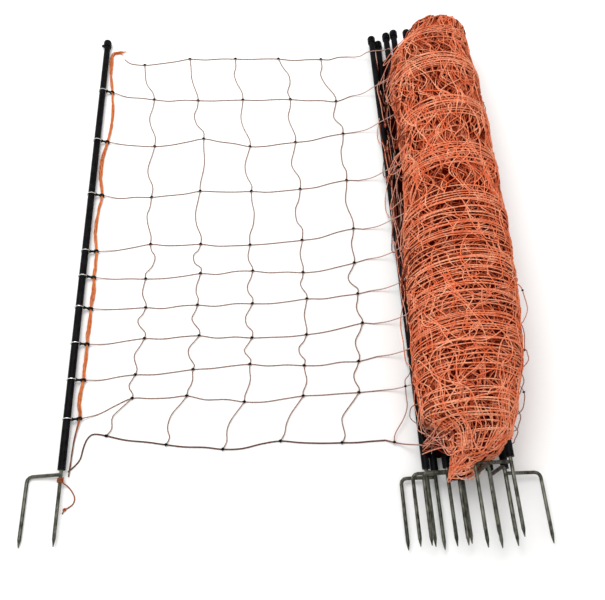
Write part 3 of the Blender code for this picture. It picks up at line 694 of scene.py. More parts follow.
def add_knot(rng, strands, centre, width):
    """Moulded knot: a short barrel along the row with a smaller one across it."""
    barrel = np.linspace(-1, 1, BARREL_POINTS)
    belly = np.sqrt(1.03 - barrel ** 2)
    tilt = rng.uniform(-0.5, 0.5)
    for turn, reach, girth in BARRELS:
        axis = np.array([math.cos(tilt + turn), math.sin(tilt + turn), 0])
        strands.add(centre + barrel[:, None] * axis * reach * width, belly * girth * width, UP)


def shade(depth):
    """Share of painted shade on a strand at a depth, from 0 on the roll's outside to 1 deep in the layer that
    shows.
    """
    return np.clip(1.9 * depth - 0.08, 0, 1)


def tone_at(rng, least, depth):
    """Tone of a strand, from a least value to 1 on the outside, and less the deeper it lies, as painted shade
    on the inner strands.
    """
    return rng.uniform(least, 1.0) * np.clip(1.1 - 1.6 * depth, 0, 1)


def lay_on_roll(rng, strands, y, turn, depth, sizes):
    """Strand along places on the roll, at depths given as shares of the layer that shows, with painted shade
    that grows with depth.
    """
    path = ROLL.surface(y, turn, depth * sizes.layer_depth, 0.0, sizes.roll_strand)
    strands.add(path, sizes.roll_strand, ROLL.outward(turn), tone_at(rng, 0.3, depth), shade(depth))


def stand_for(piece, *nodes):
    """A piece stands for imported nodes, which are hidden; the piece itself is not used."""
    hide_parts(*nodes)


def ride_on(piece, body, *nodes):
    """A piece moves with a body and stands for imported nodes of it."""
    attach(piece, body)
    stand_for(piece, *nodes)


def dress_roll(strands, name):
    """Strands of the roll as one piece, which stands for its core."""
    ride_on(strands.piece(name, "orange strand"), "roll", "roll_core")


def dark_mass(name, rings):
    """Closed body over rings of points, in the painted shade colour of strands deep inside the roll."""
    points = np.vstack(rings)
    depth = {"depth": np.full(len(points), MASS_SHADE)}
    faces = tube_faces(len(rings), len(rings[0]))
    ride_on(mesh_piece(name, points, faces, finish_material("orange strand"), depth), "roll", "roll_core")


# Operators

class NettingOperator:
    """What the operators share."""
    bl_options = {"REGISTER", "UNDO"}


class NETTING_OT_stage(NettingOperator, bpy.types.Operator):
    """Pale floor, even studio light and the camera"""
    bl_idname = "netting.stage"
    bl_label = "Stage"

    FLOOR_HALF = 6.0
    LAMP_SIZE = 1.6
    LAMP_PLACE = (-0.9, 0.5, 2.2)
    SENSOR_MM = 36

    def execute(self, context):
        scene = context.scene
        self.add_floor(scene.netting_colours.floor)
        self.add_light(scene, scene.netting_studio)
        self.add_camera(scene, scene.netting_studio)
        return {"FINISHED"}

    def add_floor(self, tint):
        material = bpy.data.materials.new("studio floor")
        material.use_nodes = True
        shader = material.node_tree.nodes["Principled BSDF"].inputs
        shader["Base Color"].default_value = solid(tint)
        shader["Roughness"].default_value = 0.9
        shader["Specular IOR Level"].default_value = 0.1
        corners = [
            (x * self.FLOOR_HALF, y * self.FLOOR_HALF, 0) for x, y in ((-1, -1), (1, -1), (1, 1), (-1, 1))
        ]
        mesh_piece("floor", corners, [(0, 1, 2, 3)], material, smooth=False)

    def add_light(self, scene, studio):
        world = bpy.data.worlds.new("studio sky")
        world.use_nodes = True
        background = world.node_tree.nodes["Background"].inputs
        background["Color"].default_value = (1, 1, 1, 1)
        background["Strength"].default_value = studio.sky
        scene.world = world
        scene.view_settings.view_transform = "Standard"
        lamp = bpy.data.lights.new("key light", "AREA")
        lamp.energy = studio.key_power
        lamp.shape = "DISK"
        lamp.size = self.LAMP_SIZE
        key = bpy.data.objects.new("key light", lamp)
        key.location = self.LAMP_PLACE
        key.rotation_euler = (key.location - Vector(studio.target)).to_track_quat("Z", "Y").to_euler()
        scene.collection.objects.link(key)

    def add_camera(self, scene, studio):
        away = Vector((
            math.sin(studio.turn) * math.cos(studio.rise),
            -math.cos(studio.turn) * math.cos(studio.rise),
            math.sin(studio.rise),
        ))
        lens = bpy.data.cameras.new("camera")
        lens.sensor_fit = "HORIZONTAL"
        lens.sensor_width = self.SENSOR_MM
        lens.lens = studio.lens
        camera = bpy.data.objects.new("camera", lens)
        camera.location = Vector(studio.target) + studio.distance * away
        camera.rotation_euler = away.to_track_quat("Z", "Y").to_euler()
        scene.collection.objects.link(camera)
        scene.camera = camera


class NETTING_OT_posts(NettingOperator, bpy.types.Operator):
    """Finish of the posts, their caps and the strand clips"""
    bl_idname = "netting.posts"
    bl_label = "Posts, Caps and Clips"

    def execute(self, context):
        paint_nodes("black plastic", "roll_post_", "roll_cap_", "end_post", "end_cap", "strand_clip_")
        return {"FINISHED"}


class NETTING_OT_steel(NettingOperator, bpy.types.Operator):
    """Finish of the double spikes and of the wire rings"""
    bl_idname = "netting.steel"
    bl_label = "Spikes and Rings"

    def execute(self, context):
        paint_nodes("galvanised steel", "roll_foot_", "end_foot")
        paint_nodes("bright wire", "clip_ring_")
        return {"FINISHED"}


class NETTING_OT_net(NettingOperator, bpy.types.Operator):
    """Flat net between the end post and the fold: rows, columns and moulded knots"""
    bl_idname = "netting.net"
    bl_label = "Flat Net"

    # Ways of the lowest and the highest row from the end post to their first knots
    GROUND_START = (
        (0.010, -0.002), (0.022, 0.009), (0.031, 0.022), (0.034, 0.040), (0.039, 0.058), (0.048, 0.0685),
        (0.060, 0.0690)
    )
    TOP_START = ((0.045, 1.068), (0.062, 1.052))
    # From a clip's eye to the start of its row
    PAST_EYE = np.array([0.004, 0, 0])
    # Least length of a slack stretch, where it sags, as shares of its length, and how far against the wave
    LONG_SPAN = 0.05
    SAGS = ((0.33, -0.25), (0.68, -0.05))
    STEP = 0.008
    # Heights of the columns and of the knots, against their own thickness and width
    COLUMN_LIFT = 1.3
    KNOT_LIFT = 0.42
    FOLD_SOFTNESS = 0.06

    def execute(self, context):
        sizes = context.scene.netting_sizes
        rng = np.random.default_rng(11)
        knots = panel_knots()
        strands, ground, tied = StrandMesh(6), StrandMesh(6), StrandMesh(8)
        for row in range(1, len(ROWS)):
            path = self.row_path(rng, knots, row, sizes)
            strands.add(path, sizes.net_strand, UP, tone=rng.uniform(0.2, 0.9))
        lift = self.COLUMN_LIFT * sizes.net_strand + FLOOR_GAP
        for column in range(knots.shape[1]):
            stops = [np.array([x, y, lift]) for x, y, _ in knots[::-1, column]]
            path = slack_column(rng, stops, sizes.strand_wave)
            strands.add(path, sizes.net_strand, UP, tone=rng.uniform(0.2, 0.9))
        ground.add(self.row_path(rng, knots, 0, sizes), sizes.ground_strand, UP, tone=0.4)
        lift = self.KNOT_LIFT * sizes.knot + FLOOR_GAP
        for x, y, _ in knots.reshape(-1, 3):
            add_knot(rng, tied, np.array([x, y, lift]), sizes.knot)
        for mesh, name, finish in (
            (strands, "net_rows_and_columns", "net strand"), (ground, "net_ground_row", "ground strand"),
            (tied, "net_knots", "black plastic"),
        ):
            piece = mesh.piece(name, finish)
            stand_for(piece, "net_panel")
            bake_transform(piece)
        return {"FINISHED"}

    def row_path(self, rng, knots, row, sizes):
        """From the end post through the row's knots to the fold, slack between them."""
        lift = resting(sizes.net_strand)
        if row == 0:
            points = at_post(self.GROUND_START, lift)
        elif row == len(ROWS) - 1:
            points = at_post(self.TOP_START, lift)
        else:
            points = [clip_eye(CLIPS[row - 1]) + self.PAST_EYE]
        end = np.array([FOLD_X, ROLL.rows[row][0], lift])
        for stop in [np.array([x, y, lift]) for x, y, _ in knots[row]] + [end]:
            span = stop - points[-1]
            for share, sag in self.SAGS if np.linalg.norm(span) > self.LONG_SPAN else ():
                middle = stop - (1 - share) * span
                middle[1] += (sag + rng.uniform(-0.2, 0.2)) * sizes.strand_wave
                middle[2] = lift
                points.append(middle)
            points.append(stop)
        return smooth_path(points, self.STEP)


class NETTING_OT_edge_cord(NettingOperator, bpy.types.Operator):
    """Orange cord beside the end post, of loose filaments, frayed at its upper end"""
    bl_idname = "netting.edge_cord"
    bl_label = "Edge Cord"

    # Ways of the cord's two ends, across from the end post's axis and up from its lower end
    FOOT = ((0.0125, -0.012), (0.016, 0.059))
    TOP = (
        (0.0190, 0.978), (0.0145, 1.015), (0.0128, 1.047), (0.0130, 1.076), (0.0185, 1.0885), (0.0300, 1.0905)
    )
    # How far the cord bows aside between two clips, from the ground up
    BOWS = (-0.004, 0.0, 0.0, 0.001, 0.0, -0.007, -0.008, 0.0045)
    DIAMETER = 0.006
    # Half width between two clips and in a clip, the height against the width, and shares of the half width
    # in a clip along the lower end and of that between clips along the upper end
    WIDE = 0.0036
    NARROW = 0.0016
    FLATNESS = 0.55
    FOOT_WIDTHS = (0.5, 0.6)
    TOP_WIDTHS = (0.75, 0.7, 1.1, 1.1, 1.1, 1.1)
    # Length of one turn of the lay, and how far out every third filament lies against the others
    LAY = 0.11
    INSET = 0.25
    # Where the thin, dark foot of the cord ends, over what length it fades, and how thin and dark it is
    FOOT_END = 0.15
    FOOT_FADE = 0.08
    FOOT_THINNED = 0.4
    FOOT_DARK = 0.85
    FRAY_LENGTH = 0.020
    FRAY_POINTS = 7
    FRAY_LIFT = 0.0012
    STEP = 0.006

    def execute(self, context):
        sizes = context.scene.netting_sizes
        rng = np.random.default_rng(5)
        path, width = self.route(rng, sizes)
        strands, frayed = StrandMesh(6), StrandMesh(6)
        run = run_along(path)
        along = unit(np.gradient(path, axis=0))
        side = unit(np.cross(along, UP))
        lift = np.cross(side, along)
        foot = np.clip((self.FOOT_END - run) / self.FOOT_FADE, 0, 1)
        tapered = np.linspace(0.95, 0.35, self.FRAY_POINTS) * sizes.cord_filament
        for number in range(sizes.cord_filaments):
            phase = math.tau * number / sizes.cord_filaments
            turn = phase + math.tau * run / self.LAY + wander(rng, run, 0.7, 6)
            reach = width * (self.INSET if number % 3 == 0 else 1.0)
            across = (reach * np.cos(turn))[:, None] * side
            up = (reach * self.FLATNESS * np.sin(turn))[:, None] * lift
            filament = off_floor(path + across + up, sizes.cord_filament)
            tone = rng.uniform(0.1, 1.0)
            thickness = sizes.cord_filament * (1 - self.FOOT_THINNED * foot)
            strands.add(filament, thickness, UP, tone, self.FOOT_DARK * foot)
            frayed.add(self.fray(rng, filament), tapered, UP, tone)
        cord = strands.piece("edge_cord_filaments", "cord filament")
        tips = frayed.piece("edge_cord_frayed_end", "cord filament")
        for piece in (cord, tips):
            ride_on(piece, "panel", "edge_cord")
        return {"FINISHED"}

    def route(self, rng, sizes):
        """Cord's middle line and half width: drawn in at each clip, loose and wide between them."""
        ground = 0.5 * sizes.cord_filament + self.FLATNESS * self.WIDE + FLOOR_GAP
        points = at_post(self.FOOT, ground)
        drawn = [self.NARROW * share for share in self.FOOT_WIDTHS]
        for number, name in enumerate(CLIPS):
            eye = clip_eye(name)
            if number:
                last = points[-1]
                for share in (0.33, 0.67):
                    middle = last * (1 - share) + eye * share
                    middle[0] += self.BOWS[number - 1] + rng.uniform(-0.001, 0.001)
                    middle[2] = ground
                    points.append(middle)
                    drawn.append(self.WIDE * rng.uniform(0.75, 1.1))
            points.append(eye)
            drawn.append(self.NARROW)
        points += at_post(self.TOP, ground)
        drawn += [self.WIDE * share for share in self.TOP_WIDTHS]
        path = smooth_path(points, self.STEP)
        nearest = [np.linalg.norm(path - point, axis=1).argmin() for point in points]
        return path, np.interp(np.arange(len(path)), nearest, drawn)

    def fray(self, rng, filament):
        """Points that let a filament spring apart past the cord's cut end."""
        onward = filament[-1] - filament[-3]
        onward /= np.linalg.norm(onward)
        spread = rng.normal(0, 0.35, 3) * np.array([0.4, 1.0, 0.5])
        steps = np.linspace(0, 1, self.FRAY_POINTS)[:, None]
        reach = self.FRAY_LENGTH * rng.uniform(0.45, 1.0)
        points = filament[-1] + reach * (steps * onward + steps ** 2 * spread)
        points[:, 2] = np.maximum(points[:, 2], self.FRAY_LIFT)
        return points


class NETTING_OT_foot_tie(NettingOperator, bpy.types.Operator):
    """Twine wound round the end spike, with a knotted tail on the floor"""
    bl_idname = "netting.foot_tie"
    bl_label = "Foot Tie"

    TURNS = 3
    TURN_POINTS = 20
    PITCH = 0.0031
    TAIL = (
        (0.0133, -0.0304), (0.0222, -0.0410), (0.0275, -0.0524), (0.0255, -0.0623), (0.0183, -0.0686),
        (0.0110, -0.0725), (0.0075, -0.0800)
    )
    TAIL_STEP = 0.002
    # Knot in the tail: its turns and points, its reach across and along, and its height and swing
    KNOT_TURNS = 1.4
    KNOT_POINTS = 26
    KNOT = (0.0024, 0.0022, 0.0012, 0.0010)
    # A direction that no stretch of the twine runs along
    SLANT = (0.31, 0.52, 0.8)

    def execute(self, context):
        sizes = context.scene.netting_sizes
        spike = float(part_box("end_foot")[1].x) - END_POST_X
        coil = spike + resting(sizes.tie)
        turn = math.tau * np.arange(self.TURNS * self.TURN_POINTS + 1) / self.TURN_POINTS
        start_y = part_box("foot_tie")[1].y - sizes.tie / 2
        wraps = np.stack([
            END_POST_X + coil * np.cos(turn),
            start_y - self.PITCH * turn / math.tau,
            END_POST_Z - coil * np.sin(turn),
        ], axis=1)
        rest = resting(sizes.tie)
        start = wraps[-1]
        away = start + np.array([0.004, -0.003, 0.004 + rest - start[2]])
        points = [start, away] + at_post(self.TAIL, rest)
        path = smooth_path(points, self.TAIL_STEP)
        ring = np.linspace(0, math.tau * self.KNOT_TURNS, self.KNOT_POINTS)
        across, along, height, swing = self.KNOT
        rise = height + swing * np.sin(2 * ring)
        tied = points[-2] + np.stack([across * np.cos(ring), along * np.sin(ring), rise], axis=1)
        self.add_twine("foot_tie_wraps", wraps, sizes.tie, 0.4)
        tail = self.add_twine("foot_tie_tail", path, sizes.tie, 0.4)
        knot = self.add_twine("foot_tie_knot", tied, 0.9 * sizes.tie, 0.9)
        return {"FINISHED"}

    def add_twine(self, name, path, thickness, tone):
        twine = StrandMesh(8)
        twine.add(path, thickness, self.SLANT, tone)
        piece = twine.piece(name, "tie twine")
        ride_on(piece, "panel", "foot_tie")
        return piece


class NETTING_OT_roll_mass(NettingOperator, bpy.types.Operator):
    """Inner turns that show between the outer strands, and the flattened net under the posts, both dark with
    painted shade
    """
    bl_idname = "netting.roll_mass"
    bl_label = "Inner Turns"

    STATIONS = 150
    AROUND = 96
    END_GAP = 0.006
    LUMPS = 6
    LUMP_HEIGHT = 0.0006
    # Flattened net under the outer posts: how many posts, how far in it runs, its underside and its ends
    BED_POSTS = 4
    BED_INWARD = 0.03
    BED_UNDERSIDE = (0.004, 0.014)
    BED_END_GAPS = (0.02, 0.05)

    def execute(self, context):
        sizes = context.scene.netting_sizes
        rng = np.random.default_rng(3)
        turns = full_turn(self.AROUND)
        phases = rng.uniform(0, math.tau, (self.LUMPS, 2))
        rings = []
        for place in np.linspace(ROLL.y[0] + self.END_GAP, ROLL.y[-1] - self.END_GAP, self.STATIONS):
            lumps = sum(
                np.sin((2 + 3 * k) * turns + phases[k, 0] + 90 * (1 + 0.4 * k) * place)
                for k in range(self.LUMPS)
            )
            depth = sizes.layer_depth + self.LUMP_HEIGHT * lumps
            rings.append(ROLL.surface(np.full(self.AROUND, place), turns, depth))
        dark_mass("roll_inner_turns", rings)
        self.add_bed()
        return {"FINISHED"}

    def add_bed(self):
        """Flattened net under the outer posts, up to the level of their axes, near black with painted shade.
        """
        outer = ROLL.posts[ROLL.posts[:, 0].argsort()][:self.BED_POSTS]
        inner = outer[-1] + np.array([self.BED_INWARD, 0])
        low, edge = self.BED_UNDERSIDE
        section = [(outer[0][0], edge), (outer[1][0], low), (inner[0], low), inner, *outer[::-1]]
        foot, top = self.BED_END_GAPS
        points = [(x, y, z) for y in (ROLL.y[0] + foot, ROLL.y[-1] - top) for x, z in section]
        faces = tube_faces(2, len(section))
        depth = {"depth": np.ones(len(points))}
        material = finish_material("shaded strand")
        bed = mesh_piece("roll_post_bed", points, faces, material, depth, smooth=False)
        ride_on(bed, "roll", "roll_core")


class NETTING_OT_roll_rows(NettingOperator, bpy.types.Operator):
    """Rows of the net wound round the roll, each one strand from the fold inwards"""
    bl_idname = "netting.roll_rows"
    bl_label = "Wound Rows"

    # Steps in a turn, where a row first touches the roll, and the part of a turn in which it finds its band
    STEPS = 56
    FIRST_TURN = math.radians(205)
    SETTLE_TURN = 0.17
    LEAD_STEP = 0.006
    # Part of a turn at which a strand starts to cross to its next place, and how long it takes
    CROSSING = (0.42, 0.3)
    # Unevenness of the turns' places in a band, and depths of the outside turns and of those under them
    UNEVEN = 0.05
    OUTSIDE = (0, 0.12)
    UNDER = (0.25, 0.75)
    # Where the last column before the roll crosses three rows, and how wide its knots are
    LAST_COLUMN_X = (-0.160, -0.1275, -0.116)
    LAST_KNOT = 0.0055
    # How far below its fold a row first touches the roll, and how near to that place along Y; one turn in how
    # many lies on the outside; how far its turns spread against the others; and how dark it is at the fold
    LOWEST = (0.050, 0.8, 2, 1.9, 0.45)
    SECOND = (0.0, 0.8, 3, 1.0, 0.30)
    OTHERS = (0.0, 1.15, 2, 1.0, 0.30)
    TOP = (0.0, 0.8, 6, 1.0, 0.40)

    def execute(self, context):
        sizes = context.scene.netting_sizes
        rng = np.random.default_rng(21)
        strands, knots = StrandMesh(5), StrandMesh(8)
        ways = [self.LOWEST, self.SECOND] + [self.OTHERS] * (len(ROWS) - 3) + [self.TOP]
        leads = [self.wind_row(rng, strands, row, *way, sizes) for row, way in zip(ROLL.rows, ways)]
        self.add_last_column(rng, strands, knots, leads, sizes)
        ride_on(strands.piece("roll_rows", "orange strand"), "roll", *ROWS)
        ride_on(knots.piece("roll_lead_knots", "black plastic"), "roll", *ROWS[:2])
        return {"FINISHED"}

    def wind_row(self, rng, strands, row, drop, near, raised, spread, dark, sizes):
        """One row: up from the fold over the posts, then round and round with its turns side by side."""
        fold_y, roll_y = row
        turns = round(sizes.row_turns * spread)
        t = np.arange(turns * self.STEPS + 1) / self.STEPS
        places = np.linspace(-1, 1, turns) + rng.normal(0, self.UNEVEN, turns)
        outside = np.arange(turns) % raised == 0
        sunk = np.where(outside, rng.uniform(*self.OUTSIDE, turns), rng.uniform(*self.UNDER, turns))
        order = rng.permutation(turns)
        offsets = np.concatenate([[0.0], places[order] * spread * sizes.band_spread])
        depths = np.concatenate([[0.0], sunk[order]])
        whole = np.minimum(t.astype(int), turns - 1)
        start, lasts = self.CROSSING
        share = smooth_step((t - whole - start) / lasts)
        offset = offsets[whole] + share * (offsets[whole + 1] - offsets[whole])
        depth = depths[whole] + share * (depths[whole + 1] - depths[whole])
        sway = wander(rng, t, 0.0045, 1.1) + wander(rng, t, 0.0012, 4.3)
        settle = near * (1 - smooth_step((t + 0.03) / self.SETTLE_TURN))
        y = ROLL.inside(roll_y + offset + sway * (1 - settle) + (fold_y - drop - roll_y) * settle)
        turn = self.FIRST_TURN - math.tau * t
        wound = ROLL.surface(y, turn, depth * sizes.layer_depth, 0.0, sizes.roll_strand)
        lead = self.lead(fold_y, wound[0], sizes)
        first = sizes.ground_strand if row == ROLL.rows[0] else sizes.net_strand
        thickness = np.concatenate([
            np.linspace(first, sizes.roll_strand, len(lead)), np.full(len(wound), sizes.roll_strand)
        ])
        up = np.vstack([np.repeat([UP], len(lead), axis=0), ROLL.outward(turn)])
        depth = np.concatenate([np.linspace(dark, 0, len(lead)), depth])
        faded = np.concatenate([np.ones(len(lead)), settle])
        # Sunk turns get painted shade by depth: less pale tone and more of the deep colour
        tone = tone_at(rng, 0.6, depth)
        strands.add(np.vstack([lead, wound]), thickness, up, tone, shade(depth), faded)
        return lead

    def lead(self, fold_y, stop, sizes):
        """From the fold over the outermost post to the first point on the roll's side."""
        rest = resting(sizes.roll_strand)
        start = np.array([FOLD_X, fold_y, rest])
        post_x, post_z = ROLL.posts[ROLL.posts[:, 0].argmin()]
        over_y = 0.6 * stop[1] + 0.4 * fold_y
        over = np.array([post_x - 0.3 * POST_RADIUS, over_y, post_z + POST_RADIUS + rest])
        near = 0.5 * (start + over) - np.array([0, 0, 0.25 * over[2]])
        points = smooth_path([start, near, over, stop], self.LEAD_STEP)[:-1]
        return ROLL.keep_clear(points, sizes.roll_strand)

    def add_last_column(self, rng, strands, knots, leads, sizes):
        """Column of the net that has just left the roll, knotted to the two lowest rows."""
        stops = []
        for lead, x in zip(leads, self.LAST_COLUMN_X):
            stops.append(lead[np.abs(lead[:, 0] - x).argmin()] + np.array([0, 0, sizes.roll_strand]))
        path = slack_column(rng, stops[::-1], sizes.strand_wave)
        strands.add(path, sizes.roll_strand, UP, tone=0.4, depth=0.4, faded=0.9)
        for stop in stops[:2]:
            add_knot(rng, knots, stop, self.LAST_KNOT)


class NETTING_OT_roll_columns(NettingOperator, bpy.types.Operator):
    """Slack upright strands between the rows of the roll"""
    bl_idname = "netting.roll_columns"
    bl_label = "Wound Columns"

    STEP = 0.009
    # Sine of the turn under which a column lies on the underside, and the share of those laid on top instead
    UNDERSIDE = -0.6
    MOVED_UP = 0.55
    # Least and greatest depth of the outer and the inner columns, as shares of the layer that shows
    OUTER_DEPTHS = (0.05, 0.60)
    INNER_DEPTHS = (0.40, 0.90)
    # Share of the columns that the lowest gap keeps
    LOWEST_GAP = 0.75

    def execute(self, context):
        sizes = context.scene.netting_sizes
        rng = np.random.default_rng(34)
        places = [place for _, place in ROLL.rows] + [ROLL.y[-1]]
        for name, sides, density, depths in (
            ("roll_columns", 5, sizes.gap_columns, self.OUTER_DEPTHS),
            ("roll_inner_columns", 4, sizes.inner_columns, self.INNER_DEPTHS),
        ):
            strands = StrandMesh(sides)
            for low, high in zip(places, places[1:]):
                share = self.LOWEST_GAP if low == places[0] else 1.0
                for _ in range(round(share * density * (high - low) / DECIMETRE)):
                    self.lay_column(rng, strands, low, high, depths, sizes)
            dress_roll(strands, name)
        return {"FINISHED"}

    def lay_column(self, rng, strands, low, high, depths, sizes):
        """One slack strand from row to row; fewer of them lie on the underside."""
        around = rng.uniform(0, math.tau)
        if math.sin(around) < self.UNDERSIDE and rng.uniform() < self.MOVED_UP:
            around = -around
        start = low + rng.normal(0, 0.5) * sizes.band_spread
        stop = high + rng.normal(0, 0.5) * sizes.band_spread
        t = np.linspace(0, 1, max(6, round((high - low) / self.STEP)))
        y = ROLL.inside(start + (stop - start) * t + wander(rng, t, 0.010, 0.9))
        turn = around + rng.normal(0, 0.25) * t + wander(rng, t, 0.20, 1.1)
        depth = np.clip(rng.uniform(*depths) + wander(rng, t, 0.2, 1.2), 0, 1)
        lay_on_roll(rng, strands, y, turn, depth, sizes)


class NETTING_OT_roll_tangle(NettingOperator, bpy.types.Operator):
    """Loose strands that lie across the roll, densest at its foot"""
    bl_idname = "netting.roll_tangle"
    bl_label = "Tangle"

    STEP = 0.007
    INNER_STEP = 0.0112
    LENGTHS = (0.10, 0.30)
    # Stretch at the foot of the roll that gets more of them, and the roll's mean reach
    FOOT = 0.24
    REACH = 0.1

    def execute(self, context):
        sizes = context.scene.netting_sizes
        rng = np.random.default_rng(55)
        for name, sides, strand_count, foot_share, depths, step in (
            ("roll_tangle", 5, sizes.tangles, 2, (0.0, 0.45), self.STEP),
            ("roll_inner_tangle", 4, sizes.inner_tangles, 5, (0.5, 0.9), self.INNER_STEP),
        ):
            strands = StrandMesh(sides)
            for number in range(strand_count):
                self.lay_strand(rng, strands, number % foot_share == 0, depths, step, sizes)
            dress_roll(strands, name)
        return {"FINISHED"}

    def lay_strand(self, rng, strands, at_foot, depths, step, sizes):
        """One strand with a wandering heading, laid on the roll's surface."""
        t = np.linspace(0, 1, int(rng.uniform(*self.LENGTHS) / step))
        heading = rng.uniform(0, math.tau) + rng.uniform(-2.5, 2.5) * t + wander(rng, t, 1.1, 0.8)
        low, high = ROLL.y[0] + ROLL.END_GAP, ROLL.y[-1] - ROLL.END_GAP
        start = low + rng.uniform(0, self.FOOT) if at_foot else rng.uniform(low, high)
        y = ROLL.inside(start + np.cumsum(np.sin(heading)) * step)
        turn = rng.uniform(-0.5, math.pi + 0.5) + np.cumsum(np.cos(heading)) * step / self.REACH
        depth = np.clip(rng.uniform(*depths) + wander(rng, t, 0.1, 1.5), -0.05, 1)
        lay_on_roll(rng, strands, y, turn, depth, sizes)


class NETTING_OT_roll_ends(NettingOperator, bpy.types.Operator):
    """Strands drawn across both ends of the roll"""
    bl_idname = "netting.roll_ends"
    bl_label = "Roll Ends"

    EDGE = 0.086
    POINTS = 24
    # How many samples along the roll its rounded end takes up, and the depth at which a strand's painted
    # shade is darkest
    END_SAMPLES = 60
    DARK_DEPTH = 0.005
    # Ranges of a strand's rim against the edge, its span round the end, its bow, and its lift off the face
    RIMS = (0.75, 1.0)
    SPANS = (1.2, 3.4)
    BOWS = (-0.6, 0.9)
    LIFTS = (-0.004, 0.0025)

    def execute(self, context):
        sizes = context.scene.netting_sizes
        rng = np.random.default_rng(89)
        strands = StrandMesh(5)
        for towards in (-1, 1):
            for _ in range(sizes.end_strands):
                self.lay_chord(rng, strands, towards, sizes)
        dress_roll(strands, "roll_end_strands")
        return {"FINISHED"}

    def lay_chord(self, rng, strands, towards, sizes):
        """One bowed strand from rim to rim of an end, on its rounded face."""
        order = slice(None, None, -1) if towards > 0 else slice(None)
        y, reach = ROLL.y[order][:self.END_SAMPLES], ROLL.reach[order][:self.END_SAMPLES]
        rim = self.EDGE * rng.uniform(*self.RIMS)
        start = rng.uniform(0, math.tau)
        stop = start + rng.uniform(*self.SPANS)
        ends = rim * np.array([[math.cos(a), math.sin(a)] for a in (start, stop)])
        t = np.linspace(0, 1, self.POINTS)[:, None]
        bow = 0.5 * (ends[0] + ends[1]) * rng.uniform(*self.BOWS)
        flat = ends[0] * (1 - t) + ends[1] * t + 4 * t * (1 - t) * bow
        place = np.interp(np.linalg.norm(flat, axis=1), reach, y)
        middle_x = np.interp(place, ROLL.y, ROLL.x)
        middle_z = np.interp(place, ROLL.y, ROLL.z)
        lift = rng.uniform(*self.LIFTS)
        points = np.stack([middle_x + flat[:, 0], place + towards * lift, middle_z + flat[:, 1]], axis=1)
        points = off_floor(points, sizes.roll_strand)
        # Strands sunk under the end face get painted shade
        dark = shade(-lift / self.DARK_DEPTH)
        strands.add(points, sizes.roll_strand, (0, towards, 0), rng.uniform(0.4, 1.0), dark)


